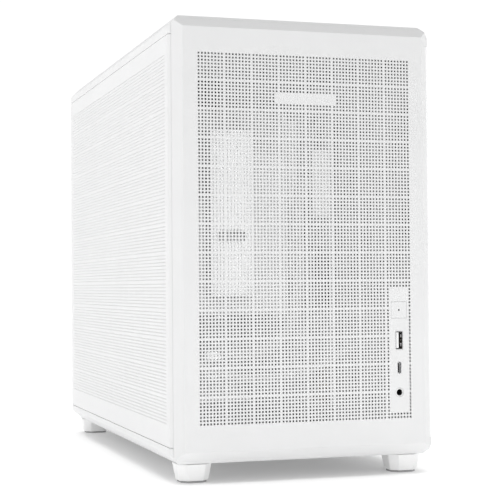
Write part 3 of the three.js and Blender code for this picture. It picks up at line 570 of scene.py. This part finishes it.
def add_usb_c():
    low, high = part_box("usb_c_port")
    wall = 0.3 * MM
    shell = new_piece("usb_c_shell", ring_mesh(USB_C_SIZE, USB_C_Z, low.y, high.y, wall),
                      "nickel_steel", "chassis")
    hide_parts("usb_c_port")
    half_x, half_z = 0.35 * MM, 3.2 * MM
    tongue = box_mesh((PORT_X - half_x, low.y + 0.8 * MM, USB_C_Z - half_z),
                      (PORT_X + half_x, high.y - MM, USB_C_Z + half_z))
    new_piece("usb_c_tongue", bevelled(tongue, 0.1 * MM), "black_plastic", "chassis")
    back = pill_mesh(USB_C_SIZE, USB_C_Z, low.y + 2.2 * MM, low.y + 4 * MM, -wall)
    new_piece("usb_c_back", back, "light_steel", "chassis")


def add_audio_jack():
    low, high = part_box("audio_jack")
    size = (AUDIO_RING, AUDIO_RING)
    wall = AUDIO_RING / 2 - AUDIO_BORE
    ring_back = low.y + 1.5 * MM
    ring = new_piece("audio_jack_ring", ring_mesh(size, AUDIO_Z, low.y, ring_back, wall),
                     "white_plastic", "chassis")
    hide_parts("audio_jack")
    barrel = ring_mesh(size, AUDIO_Z, ring_back, high.y, wall)
    back = pill_mesh(size, AUDIO_Z, high.y - 2 * MM, high.y, -0.5 * MM)
    new_piece("audio_jack_barrel", joined([barrel, back]), "black_plastic", "chassis")


def add_top_panel():
    across = sheet_lines(hole_centres(TOP_COLUMNS, 0))
    centres = hole_centres(SIDE_COLUMNS, SIDE_FIELD_MIDDLE)
    solid = bevelled(welded_copy("top_panel"), EDGE_RADIUS)
    low = (across[0], centres[0] - MARGIN, TOP - REACH)
    high = (across[-1], centres[-1] + MARGIN, TOP + REACH)
    shell = new_piece("top_panel_frame", without_box(solid, low, high), "white_paint",
                      "top_panel")
    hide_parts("top_panel")
    half = SIDE_COLUMNS // 2
    for part, chosen in (("front", centres[:half]), ("rear", centres[half:])):
        mesh = perforated(across, sheet_lines(chosen), TOP, FACING_UP, SHEET)
        new_piece(f"top_panel_mesh_{part}", mesh, "white_paint", "top_panel")


# ------------------------------------------------------------------ back of the case
REAR_HOLE = 3.0 * MM
REAR_PITCH = 4.2 * MM
COVER_HOLE = 1.2 * MM
COVER_PITCH = 3.0 * MM
# Holes across and up, in the fan grille, the vent and a slot cover
FAN_GRID = (27, 27)
VENT_GRID = (10, 18)
COVER_GRID = (28, 3)
# A cover's holes lie this far off its middle, clear of its folded tab
COVER_HOLES_ASIDE = 3 * MM
SHEET_EDGE = 0.2 * MM
FAN_SCREW_INSET = 7.5 * MM


def even_lines(middle, count, pitch, hole):
    return sheet_lines([middle + (i - (count - 1) / 2) * pitch for i in range(count)], hole, pitch / 2)


def rear_grid(solid, look_from, x, z, counts, pitch, hole, within=None):
    """Cuts a window in a rear sheet and returns it with the perforated sheet that fills the window."""
    us = even_lines(-x, counts[0], pitch, hole)
    vs = even_lines(z, counts[1], pitch, hole)
    cut = without_box(solid, (-us[-1], look_from - REACH, vs[0]), (-us[0], look_from + REACH, vs[-1]))
    return cut, perforated(us, vs, look_from, FACING_BACK, SHEET, has_hole=within)


def rear_screw(x, z):
    """A fan screw's head on the back of the case, narrower outwards, with a cross for the driver."""
    head = rod_mesh((x, BACK - 0.3 * MM, z), (x, BACK + 1.1 * MM, z), 3.6 * MM, 24, 2.6 * MM)
    slot_floor, past = BACK + 0.5 * MM, BACK + 2 * MM
    for half_x, half_z in ((2 * MM, 0.4 * MM), (0.4 * MM, 2 * MM)):
        slot = box_mesh((x - half_x, slot_floor, z - half_z), (x + half_x, past, z + half_z))
        head = combined(head, slot, "DIFFERENCE")
    return head


def add_rear_plate():
    low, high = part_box("rear_fan_frame")
    fan_x, fan_z = (low.x + high.x) / 2, (low.z + high.z) / 2

    def in_bore(u, v):
        return math.hypot(u + fan_x, v - fan_z) < FAN_BORE - REAR_HOLE / 3

    solid = bevelled(welded_copy("rear_plate"), SHEET_EDGE)
    solid, fan_grille = rear_grid(solid, BACK, fan_x, fan_z, FAN_GRID, REAR_PITCH, REAR_HOLE, in_bore)
    first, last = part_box("slot_cover_1")[0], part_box("slot_cover_4")[1]
    vent_x = (low.x + first.x) / 2
    vent_z = (first.z + last.z) / 2
    solid, vent = rear_grid(solid, BACK, vent_x, vent_z, VENT_GRID, REAR_PITCH, REAR_HOLE)
    plate = new_piece("rear_plate_sheet", joined([solid, fan_grille, vent]), "inner_paint", "chassis")
    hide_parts("rear_plate")
    reach = (high.x - low.x) / 2 - FAN_SCREW_INSET
    heads = [rear_screw(fan_x + sx * reach, fan_z + sz * reach) for sx in (-1, 1) for sz in (-1, 1)]
    new_piece("rear_fan_screws", joined(heads), "nickel_steel", "chassis")


def add_slot_covers():
    for number in range(1, 5):
        node = f"slot_cover_{number}"
        low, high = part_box(node)
        middle_x = (low.x + high.x) / 2 - COVER_HOLES_ASIDE
        middle_z = (low.z + high.z) / 2
        solid = bevelled(welded_copy(node), SHEET_EDGE)
        solid, mesh = rear_grid(solid, high.y, middle_x, middle_z, COVER_GRID, COVER_PITCH, COVER_HOLE)
        cover = new_piece(f"{node}_sheet", joined([solid, mesh]), "light_steel", "chassis")
        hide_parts(node)


# Rear sockets, in millimetres: lowest and highest z of each opening, and its sockets' (x, width)
PORT_WIDTH = 5.7
PORT_LENGTH = 13.2
NETWORK_WIDTH = 13.5
FOUR_PORTS = [(36.9 + i * 7.8, PORT_WIDTH) for i in range(4)]
REAR_SOCKETS = [
    ((131, 145), [(41, PORT_WIDTH), (49, PORT_WIDTH)]),
    ((153, 168), FOUR_PORTS),
    ((176, 191), FOUR_PORTS),
    ((199, 216), [*FOUR_PORTS[:2], (56.2, NETWORK_WIDTH)]),
    ((224, 239), FOUR_PORTS),
]
# The mains inlet's pins, from its middle, in millimetres
INLET_PINS = ((-7, 3), (0, 0.5), (7, 3))
REAR_AUDIO = [(x * MM, z * MM) for x in (36, 49, 62) for z in (250, 263)]


def socket_shell(x, z, width, height, wall, y0, y1, corner=0.5 * MM):
    outer = prism_mesh(rounded_outline(width, height, x, z, corner), y0, y1)
    inner = prism_mesh(rounded_outline(width - 2 * wall, height - 2 * wall, x, z, corner * 0.6),
                       y0 - REACH, y1 + REACH)
    return combined(outer, inner, "DIFFERENCE")


def audio_rings():
    """The collars of the rear audio sockets."""
    rings = []
    for x, z in REAR_AUDIO:
        collar = rod_mesh((x, BACK - 1.2 * MM, z), (x, BACK + 0.4 * MM, z), 4 * MM, 32)
        bore = rod_mesh((x, BACK - REACH, z), (x, BACK + REACH, z), 1.85 * MM, 24)
        rings.append(combined(collar, bore, "DIFFERENCE"))
    return rings


def add_rear_sockets():
    shells, tongues, backs = [], [], []
    face, deep = BACK - 0.4 * MM, BACK - 11.5 * MM
    length = PORT_LENGTH * MM
    inset = 0.3 * MM
    tongue_half = 5.4 * MM
    for (z0, z1), sockets in REAR_SOCKETS:
        z = (z0 + z1) / 2 * MM
        for x, width in sockets:
            x, width = x * MM, width * MM
            shells.append(socket_shell(x, z, width, length, 0.4 * MM, deep, face))
            backs.append(box_mesh((x - width / 2 + inset, deep - 0.4 * MM, z - length / 2 + inset),
                                  (x + width / 2 - inset, deep + 1.5 * MM, z + length / 2 - inset)))
            tongue = box_mesh((x - 0.2 * MM, deep + 1.2 * MM, z - tongue_half),
                              (x + 1.5 * MM, face - 1.2 * MM, z + tongue_half))
            tongues.append(bevelled(tongue, 0.15 * MM))
    new_piece("rear_socket_shells", joined(shells), "nickel_steel", "chassis")
    new_piece("rear_socket_tongues", joined(tongues), "light_steel", "chassis")
    new_piece("rear_socket_insulation", joined(backs + audio_rings()), "black_plastic", "chassis")


def add_inlet_pins():
    low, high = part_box("mains_inlet")
    x, z = (low.x + high.x) / 2, (low.z + high.z) / 2
    pins = [box_mesh((x + (dx - 1.1) * MM, BACK - 17.5 * MM, z + (dz - 2.1) * MM),
                     (x + (dx + 1.1) * MM, BACK - 1.9 * MM, z + (dz + 2.1) * MM)) for dx, dz in INLET_PINS]
    new_piece("mains_inlet_pins", joined(pins), "nickel_steel", "chassis")


# ------------------------------------------------------------------ fans
HUB_RADIUS = 20 * MM
FAN_BORE = 57.5 * MM
# A blade's width and sweep in degrees, its rise as a share of the rotor's depth, and what
# the width and the rise lose from root to tip
BLADE_WIDTH, BLADE_NARROWING = 46, 10
BLADE_SWEEP = 26
BLADE_RISE, BLADE_FLATTENING = 0.82, 0.3
BLADE_CAMBER = 0.35
BLADE_THICKNESS = 1.3 * MM
# Rotor: the way its hub's face looks away from, its blades and their tips' radius
ROTORS = {
    "rear_fan_rotor": ((0, 1, 0), 9, 54 * MM),
    "cooler_fan_rotor": ((0, 1, 0), 9, 54 * MM),
    "psu_fan_rotor": ((1, 0, 0), 7, 56 * MM),
}


def blade_mesh(tip, depth, start_angle):
    """One swept blade, pitched steeply at the hub and flatter at the tip, as a closed plate."""
    across, along = 8, 8
    root = HUB_RADIUS - MM
    points = []
    for i in range(across + 1):
        out = i / across
        radius = root + (tip - root) * out
        width = math.radians(BLADE_WIDTH - BLADE_NARROWING * out)
        sweep = math.radians(BLADE_SWEEP) * out ** 1.5
        rise = depth * (BLADE_RISE - BLADE_FLATTENING * out)
        for j in range(along + 1):
            chord = j / along - 0.5
            angle = start_angle + sweep + chord * width
            height = depth / 2 + rise * (chord + BLADE_CAMBER * (0.25 - chord * chord))
            points.append((radius * math.cos(angle), radius * math.sin(angle), height))
    row = along + 1
    faces = [(i * row + j, (i + 1) * row + j, (i + 1) * row + j + 1, i * row + j + 1)
             for i in range(across) for j in range(along)]
    mesh = bpy.data.meshes.new("blade")
    mesh.from_pydata(points, [], faces)
    return with_modifiers(mesh, ("SOLIDIFY", {"thickness": BLADE_THICKNESS, "offset": 0}))


def rotor_mesh(blades, tip, depth):
    """A fan's turning part about its own Z axis, its hub's face at Z = 0."""
    hub = bevelled(rod_mesh((0, 0, 0), (0, 0, depth), HUB_RADIUS, 48), 1.6 * MM, 3)
    dish = rod_mesh((0, 0, -MM), (0, 0, 0.4 * MM), HUB_RADIUS - 5 * MM, 48)
    hub = combined(hub, dish, "DIFFERENCE")
    wings = [blade_mesh(tip, depth, 2 * math.pi * i / blades) for i in range(blades)]
    mesh = joined([hub, *wings])
    for polygon in mesh.polygons:
        polygon.use_smooth = True
    mesh.set_sharp_from_angle(angle=math.radians(40))
    return mesh


def add_rotor(node, axis, blades, tip):
    """Puts a rotor with shaped blades in place of a CAD rotor."""
    low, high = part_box(node)
    middle = (low + high) / 2
    along = Vector(axis)
    depth = abs((high - low).dot(along))
    start = middle - along * depth / 2
    mesh = rotor_mesh(blades, tip, depth)
    turn = along.to_track_quat("Z", "Y").to_matrix().to_4x4()
    mesh.transform(Matrix.Translation(start) @ turn)
    rotor = new_piece(f"{node}_blades", mesh, "white_plastic", node.removesuffix("_rotor"))
    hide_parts(node)


# ------------------------------------------------------------------ cooler and board
FIN_COUNT = 46
FIN_THICKNESS = 0.5 * MM
FINS_END = 26 * MM
PIPE_RADIUS = 3 * MM
PIPE_PLACES = (84 * MM, 104 * MM)
PIPE_SPREAD_AT_FINS = 34 * MM
PIPE_SPREAD_AT_BLOCK = 13 * MM
BLOCK_FRONT = 54 * MM
BLOCK_MIDDLE = 95 * MM
BLOCK_HALF_Y = 24 * MM
BLOCK_HALF_Z = 22 * MM


def add_cooler():
    low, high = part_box("cooler_heatsink")
    first = low.x + 1.2 * MM
    fins = []
    for i in range(FIN_COUNT):
        x = first + i * (FINS_END - first) / FIN_COUNT
        fins.append(box_mesh((x, low.y, low.z), (x + FIN_THICKNESS, high.y - 1.2 * MM, high.z)))
    stack = new_piece("cooler_fins", joined(fins), "aluminium", "chassis")
    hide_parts("cooler_heatsink")
    socket_z = (low.z + high.z) / 2
    pipes = []
    for y in PIPE_PLACES:
        for side in (-1, 1):
            far = socket_z + side * PIPE_SPREAD_AT_FINS
            near = socket_z + side * PIPE_SPREAD_AT_BLOCK
            route = [(low.x + 0.4 * MM, y, far), (-40 * MM, y, far), (34 * MM, y, far),
                     (50 * MM, y, far - side * 10 * MM), (57 * MM, y, near)]
            pipes.append(tube_mesh(route, PIPE_RADIUS))
    new_piece("cooler_heat_pipes", joined(pipes), "nickel_steel", "chassis")
    block = box_mesh((BLOCK_FRONT, BLOCK_MIDDLE - BLOCK_HALF_Y, socket_z - BLOCK_HALF_Z),
                     (high.x, BLOCK_MIDDLE + BLOCK_HALF_Y, socket_z + BLOCK_HALF_Z))
    new_piece("cooler_base_block", bevelled(block, 0.8 * MM), "aluminium", "chassis")


def tube_mesh(points, radius, sides=16, steps=10):
    """A round tube along a smooth curve through the points."""
    path = smooth_path(points, steps)
    rings, faces = [], []
    normal = Vector((0, 0, 1))
    for i, at in enumerate(path):
        ahead = (path[min(i + 1, len(path) - 1)] - path[max(i - 1, 0)]).normalized()
        if abs(normal.dot(ahead)) > 0.98:
            normal = Vector((0, 1, 0))
        side = ahead.cross(normal).normalized()
        normal = side.cross(ahead).normalized()
        for j in range(sides):
            angle = 2 * math.pi * j / sides
            rings.append(at + (side * math.cos(angle) + normal * math.sin(angle)) * radius)
    for i in range(len(path) - 1):
        for j in range(sides):
            k = (j + 1) % sides
            faces.append((i * sides + j, i * sides + k, (i + 1) * sides + k, (i + 1) * sides + j))
    faces.append(tuple(reversed(range(sides))))
    faces.append(tuple(range((len(path) - 1) * sides, len(path) * sides)))
    mesh = bpy.data.meshes.new("tube")
    mesh.from_pydata(rings, [], faces)
    for polygon in mesh.polygons:
        polygon.use_smooth = len(polygon.vertices) == 4
    return mesh


def smooth_path(points, steps):
    """Points along a curve that passes through the given points."""
    points = [Vector(p) for p in points]
    ends = [2 * points[0] - points[1], *points, 2 * points[-1] - points[-2]]
    path = []
    for a, b, c, d in zip(ends, ends[1:], ends[2:], ends[3:]):
        for i in range(steps):
            t = i / steps
            path.append(0.5 * (2 * b + (c - a) * t + (2 * a - 5 * b + 4 * c - d) * t ** 2
                               + (3 * b - a - 3 * c + d) * t ** 3))
    return path + [points[-1]]


def on_board(y0, y1, z0, z1, height, base=0.0):
    """A box standing on the board's component face; all in millimetres."""
    return box_mesh((BOARD_FACE - (base + height) * MM, y0 * MM, z0 * MM),
                    (BOARD_FACE - base * MM + 0.2 * MM, y1 * MM, z1 * MM))


def rod_on_board(y, z, height, radius, sides=20, sunk=0.2):
    """A round part standing on the board's component face; all in millimetres."""
    return rod_mesh((BOARD_FACE + sunk * MM, y * MM, z * MM),
                    (BOARD_FACE - height * MM, y * MM, z * MM), radius * MM, sides)


def board_chips():
    """Chokes beside the regulator's heatsink, small chips, and drive sockets at the front edge."""
    chips = [bevelled(on_board(126, 134, 170 + i * 13, 179 + i * 13, 7), 0.6 * MM) for i in range(7)]
    random.seed(12)
    for _ in range(46):
        y, z = random.uniform(-52, 10), random.uniform(106, 272)
        long, wide = random.choice(((1.6, 0.8), (2.4, 1.4), (5, 4), (3, 3)))
        chips.append(on_board(y, y + long, z, z + wide, random.choice((0.6, 0.9, 1.2))))
    return chips + [bevelled(on_board(-57.5, -44, z, z + 12, 8), 0.4 * MM) for z in (118, 133, 148)]


def board_capacitors():
    """A row of capacitors beside the chokes, and three for the sound at the lower rear."""
    beside_chokes = [rod_on_board(121.5, 176 + i * 13, 9, 3) for i in range(6)]
    return beside_chokes + [rod_on_board(150, 40 + i * 9, 11, 3.2) for i in range(3)]


def board_pins():
    """Pin headers along the lower front edge, two pins wide."""
    return [rod_on_board(-50 + j * 2.54, z + i * 1.2, 8, 0.32, 6, 0)
            for z in (42, 50, 58, 66) for i in range(5) for j in range(2)]


def board_metal():
    """The battery and the mounting screws."""
    battery = bevelled(rod_on_board(30, 60, 3.4, 10, 40), 0.5 * MM)
    return [battery] + [bevelled(rod_on_board(y, z, 2.2, 3, sunk=0.1), 0.6 * MM)
                        for y in (-50, 32, 169) for z in (43, 151, 269)]


def add_board_parts():
    for name, meshes, look in (("board_chips", board_chips(), "black_plastic"),
                               ("board_capacitors", board_capacitors(), "aluminium"),
                               ("board_pins", board_pins(), "gold"),
                               ("board_screws_and_battery", board_metal(), "nickel_steel")):
        new_piece(name, joined(meshes), look, "chassis")


# ------------------------------------------------------------------ power supply
def torus_mesh(centre, radius, wire, sides=64, ring=8):
    """A wire ring about X."""
    points, faces = [], []
    for i in range(sides):
        turn = 2 * math.pi * i / sides
        for j in range(ring):
            angle = 2 * math.pi * j / ring
            reach = radius + wire * math.cos(angle)
            points.append((centre[0] + wire * math.sin(angle), centre[1] + reach * math.cos(turn),
                           centre[2] + reach * math.sin(turn)))
            k, m = (i + 1) % sides, (j + 1) % ring
            faces.append((i * ring + j, i * ring + m, k * ring + m, k * ring + j))
    mesh = bpy.data.meshes.new("torus")
    mesh.from_pydata(points, [], faces)
    return mesh


def add_psu_grille():
    low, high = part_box("psu_fan_grille")
    middle = (low + high) / 2
    reach = (high.z - low.z) / 2
    wire, head_radius, inset = 0.75 * MM, 3 * MM, 1.5 * MM
    half_head = Vector((1.4 * MM, 0, 0))
    wires = [torus_mesh(middle, (8 + 7 * i) * MM, wire) for i in range(8)]
    for turn in (1, -1):
        a = Vector((middle.x, middle.y - reach, middle.z - turn * reach))
        b = Vector((middle.x, middle.y + reach, middle.z + turn * reach))
        wires.append(rod_mesh(a, b, wire, 10))
    grille = new_piece("psu_fan_guard", joined(wires), "nickel_steel", "chassis")
    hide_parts("psu_fan_grille")
    for i, (dy, dz) in enumerate(((-1, -1), (-1, 1), (1, 1), (1, -1))):
        at = middle + Vector((0, dy, dz)) * (reach - inset)
        head = bevelled(rod_mesh(at + half_head, at - half_head, head_radius, 20), 0.5 * MM)
        new_piece(f"psu_fan_screw_{i + 1}", head, "nickel_steel", "chassis")


# ------------------------------------------------------------------ cables; routes in millimetres
PSU_LOW = 1000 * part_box("psu_housing")[0].z - 0.3
PLUG_EXIT = 1000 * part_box("psu_housing")[1].z + 17
MAINS_ROUTE = [(-64, -104.7, PLUG_EXIT), (-64, -80, PLUG_EXIT + 2), (-64, -45, 282), (-64, -5, 289),
               (-64, 60, 291), (-64, 120, 290.3), (-64, 150, 290.3), (-64, 167.7, 290.3)]
BOARD_POWER_ROUTE = [(-30, -52, PSU_LOW), (-30, -53, 98), (-16, -56, 82), (12, -58, 84), (34, -57, 104),
                     (42, -54, 140), (43, -51, 180), (43.5, -51, 205), (48, -51, 215.5), (54.7, -51, 216)]
CPU_POWER_ROUTE = [(-62, -52, PSU_LOW), (-62, -53, 96), (-40, -60, 72), (0, -72, 62), (45, -79, 70),
                   (70, -79, 82), (84, -77, 88), (86, -60, 110), (86, 0, 190), (86, 70, 272),
                   (86, 122, 292), (84, 136, 296), (74, 144, 297.5), (62, 144, 295), (60.5, 144, 284),
                   (60.5, 144, 279.3)]
FRONT_PORTS_ROUTE = [(72.9, -160.2, 62), (72.9, -153, 61), (70.5, -138, 51), (66, -112, 42),
                     (62, -84, 39), (57, -60, 38.5), (52, -42, 40), (50.5, -26, 41.5), (55, -18, 41.5),
                     (67.4, -16.5, 41.5)]
# Cable: route, radius of the bundle, wires round it, radius of each wire
CABLES = {
    "mains_lead": (MAINS_ROUTE, 3.5, 0, 0),
    "board_power_cable": (BOARD_POWER_ROUTE, 4.5, 13, 1.0),
    "cpu_power_cable": (CPU_POWER_ROUTE, 3.0, 8, 0.95),
    "front_ports_cable": (FRONT_PORTS_ROUTE, 2.5, 5, 0.95),
}


def wire_bundle(route, bundle, wires, wire):
    """Wires lying side by side round the middle line of a bundle, with half a turn of twist."""
    path = smooth_path([Vector(p) * MM for p in route], 8)
    strands = [[] for _ in range(wires)]
    normal = Vector((0, 0, 1))
    for i, at in enumerate(path):
        ahead = (path[min(i + 1, len(path) - 1)] - path[max(i - 1, 0)]).normalized()
        side = ahead.cross(normal)
        if side.length < 0.2:
            side = ahead.cross(Vector((0, 1, 0)))
        side.normalize()
        normal = side.cross(ahead).normalized()
        for j, strand in enumerate(strands):
            angle = 2 * math.pi * (j / wires + 0.5 * i / len(path))
            out = (side * math.cos(angle) + normal * math.sin(angle)) * (bundle - wire) * MM
            strand.append(at + out)
    return joined([tube_mesh(strand, wire * MM, 8, 1) for strand in strands])


def add_cables():
    for node, (route, bundle, wires, wire) in CABLES.items():
        if wires:
            mesh = wire_bundle(route, bundle, wires, wire)
        else:
            mesh = tube_mesh([Vector(p) * MM for p in route], bundle * MM, 24)
        cable = new_piece(f"{node}_wires", mesh, "cable_jacket", "chassis")
        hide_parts(node)


# ------------------------------------------------------------------ carried-over nodes
CORNERS = ("front_left", "front_right", "rear_left", "rear_right")
FEET = [f"foot_{corner}" for corner in CORNERS]
FAN_FRAMES = ["rear_fan_frame", "cooler_fan_frame"]
HEAT_SPREADERS = ["vrm_heatsink", "chipset_heatsink", "ssd_heatsink", "ram_stick_1", "ram_stick_2"]
NODE_LOOKS = {
    "white_paint": ["base_pan"],
    "inner_paint": ["motherboard_tray", "front_frame", "top_frame", "psu_bracket", "psu_housing"],
    "white_plastic": [*FEET, *FAN_FRAMES, "pcie_slot", "ram_slot_1", "ram_slot_2", "atx_connector",
                      "eps_connector"],
    "foot_rubber": [f"foot_pad_{corner}" for corner in CORNERS],
    "light_steel": ["io_bracket"],
    "nickel_steel": ["cpu_socket", "io_shield", "rear_port_block"],
    "aluminium": HEAT_SPREADERS,
    "black_plastic": ["power_switch", "psu_switch", "psu_inlet", "mains_inlet", "mains_plug"],
    "circuit_board": ["motherboard", "io_board"],
}
SOFT_EDGES = {
    "base_pan": 0.35 * MM,
    **dict.fromkeys(FEET, 0.6 * MM),
    "psu_housing": 0.5 * MM,
    "mains_plug": 1.2 * MM,
    **dict.fromkeys(FAN_FRAMES, 0.5 * MM),
    **dict.fromkeys(HEAT_SPREADERS, 0.4 * MM),
    "psu_switch": 0.3 * MM,
}


def soften(obj, width):
    """Rounds a CAD node's sharp edges by modifiers, so that its mesh stays as it is."""
    weld = obj.modifiers.new("weld", "WELD")
    weld.merge_threshold = 1e-6
    bevel = obj.modifiers.new("bevel", "BEVEL")
    bevel.width = width
    bevel.segments = 2
    bevel.limit_method = "ANGLE"
    bevel.angle_limit = math.radians(30)


def finish_nodes():
    for look, names in NODE_LOOKS.items():
        for name in names:
            paint(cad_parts[name], look)
    for name, width in SOFT_EDGES.items():
        soften(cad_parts[name], width)


# ------------------------------------------------------------------ studio
FLOOR_SIZE = 60


def add_floor():
    mesh = bpy.data.meshes.new("floor")
    half = FLOOR_SIZE / 2
    corners = [(-half, -half, 0), (half, -half, 0), (half, half, 0), (-half, half, 0)]
    mesh.from_pydata(corners, [], [(0, 1, 2, 3)])
    floor = bpy.data.objects.new("floor", mesh)
    scene.collection.objects.link(floor)
    material, nodes, links, shader = new_material("studio_floor")
    fac = add_noise(nodes, links, 3)
    vary_colour(nodes, links, fac, (0.79, 0.79, 0.79), (0.81, 0.81, 0.81), shader.inputs["Base Color"])
    shader.inputs["Roughness"].default_value = 0.9
    shader.inputs["Specular IOR Level"].default_value = 0.1
    shader.inputs["Emission Color"].default_value = (1, 1, 1, 1)
    shader.inputs["Emission Strength"].default_value = 0.13
    mesh.materials.append(material)
    return floor


def add_sky():
    """White at the horizon behind the tower, dimmer overhead and on the side it is seen from."""
    world = bpy.data.worlds.new("studio")
    world.use_nodes = True
    scene.world = world
    nodes, links = world.node_tree.nodes, world.node_tree.links
    place = nodes.new("ShaderNodeTexCoord")
    parts = nodes.new("ShaderNodeSeparateXYZ")
    links.new(place.outputs["Generated"], parts.inputs["Vector"])
    height = add_ramp(nodes, links, parts.outputs["Z"], (0.2, 1.0), (1.06, 0.88))
    depth = add_ramp(nodes, links, parts.outputs["Y"], (-0.6, 0.2), (0.61, 1.0))
    both = nodes.new("ShaderNodeMath")
    both.operation = "MULTIPLY"
    links.new(height, both.inputs[0])
    links.new(depth, both.inputs[1])
    links.new(both.outputs["Value"], nodes["Background"].inputs["Strength"])
    nodes["Background"].inputs["Color"].default_value = (1, 1, 1, 1)


def add_light(name, light, place, target):
    obj = bpy.data.objects.new(name, light)
    obj.location = place
    obj.rotation_euler = (Vector(target) - Vector(place)).to_track_quat("-Z", "Y").to_euler()
    scene.collection.objects.link(obj)
    return obj


def add_softbox(name, place, target, size, power):
    light = bpy.data.lights.new(name, "AREA")
    light.shape = "RECTANGLE"
    light.size, light.size_y = size
    light.energy = power
    obj = add_light(name, light, place, target)
    obj.visible_camera = False
    return obj


def add_sun(name, place, target, strength, spread):
    light = bpy.data.lights.new(name, "SUN")
    light.energy = strength
    light.angle = math.radians(spread)
    obj = add_light(name, light, place, target)
    obj.visible_glossy = False
    return obj


def link_light(light, lit, blocked_by=()):
    """The light reaches some pieces alone; its shadows come from the pieces in blocked_by, or from all."""
    light.light_linking.receiver_collection = gathered(f"lit_by_{light.name}", lit)
    if blocked_by:
        light.light_linking.blocker_collection = gathered(f"blocking_{light.name}", blocked_by)


def gathered(name, pieces):
    group = bpy.data.collections.new(name)
    for piece in pieces:
        group.objects.link(piece)
    return group


# How the names start of the pieces that the inner fill lights leave alone
OUTSIDE = ("front_panel", "side_panel_left", "top_panel", "base_pan", "foot_", "floor", "psu_bracket",
           "power_button", "usb_", "audio_jack")
# How the names start of the inner pieces with less fill light, and of those with none
NEAR_FRONT = ("psu_housing", "top_frame", "motherboard_tray", "mains_lead", "board_power_cable",
              "cpu_power_cable", "front_ports_cable", "ram_stick", "slot_cover")
IN_SHADE = ("front_frame", "io_bracket", "io_board", "power_switch")
# The part of the power supply's bracket that lies right behind the front mesh
PLATE = (Vector((-69 * MM, FRONT, BASE + 114 * MM)), Vector((-39 * MM, FRONT, BASE + 227 * MM)))
PLATE_LIGHT_GAP = 20 * MM


def inner_pieces():
    """What shows through the front mesh, which takes a little light of its own."""
    return [obj for obj in scene.objects if obj.type == "MESH" and not obj.name.startswith(OUTSIDE)]


def add_studio():
    floor = add_floor()
    add_sky()
    middle = (0, 0, (TOP + BASE) / 2)
    add_softbox("key", (-2.0, -0.9, 0.9), middle, (1.4, 1.4), 2.6)
    add_softbox("front_fill", (0.12, -0.8, 0.035), (0.05, FRONT, 0.04), (0.5, 0.04), 0.05)
    add_softbox("foot_fill", (0.03, -0.42, 0.02), (0, FRONT, 0.03), (0.35, 0.02), 0.072)
    link_light(add_sun("overhead", (0, 0, 3), (0, 0, 0), 2.0, 45), [floor])
    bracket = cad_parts["psu_bracket"]
    inside = inner_pieces()
    near = [obj for obj in inside if obj.name.startswith(NEAR_FRONT)]
    deep = [obj for obj in inside if not obj.name.startswith(NEAR_FRONT + IN_SHADE)]
    ahead = (-0.5, -2, 0.6)
    link_light(add_sun("near_fill", ahead, middle, 0.8, 20), near, inside + [bracket])
    link_light(add_sun("deep_fill", ahead, middle, 1.35, 20), deep, inside + [bracket])
    low, high = PLATE
    place = (low + high) / 2 - Vector((0, PLATE_LIGHT_GAP, 0))
    size = (high.x - low.x, high.z - low.z)
    plate_fill = add_softbox("plate_fill", place, place + Vector((0, 1, 0)), size, 0.019)
    link_light(plate_fill, [bracket], [bracket])
    scene.view_settings.view_transform = "Standard"


add_camera()
add_front_panel()
add_side_panel("left")
add_side_panel("right")
add_top_panel()
add_power_button()
add_usb_a()
add_usb_c()
add_audio_jack()
for rotor_node, rotor_values in ROTORS.items():
    add_rotor(rotor_node, *rotor_values)
add_rear_plate()
add_slot_covers()
add_rear_sockets()
add_inlet_pins()
add_cooler()
add_board_parts()
add_psu_grille()
add_cables()
finish_nodes()
add_studio()
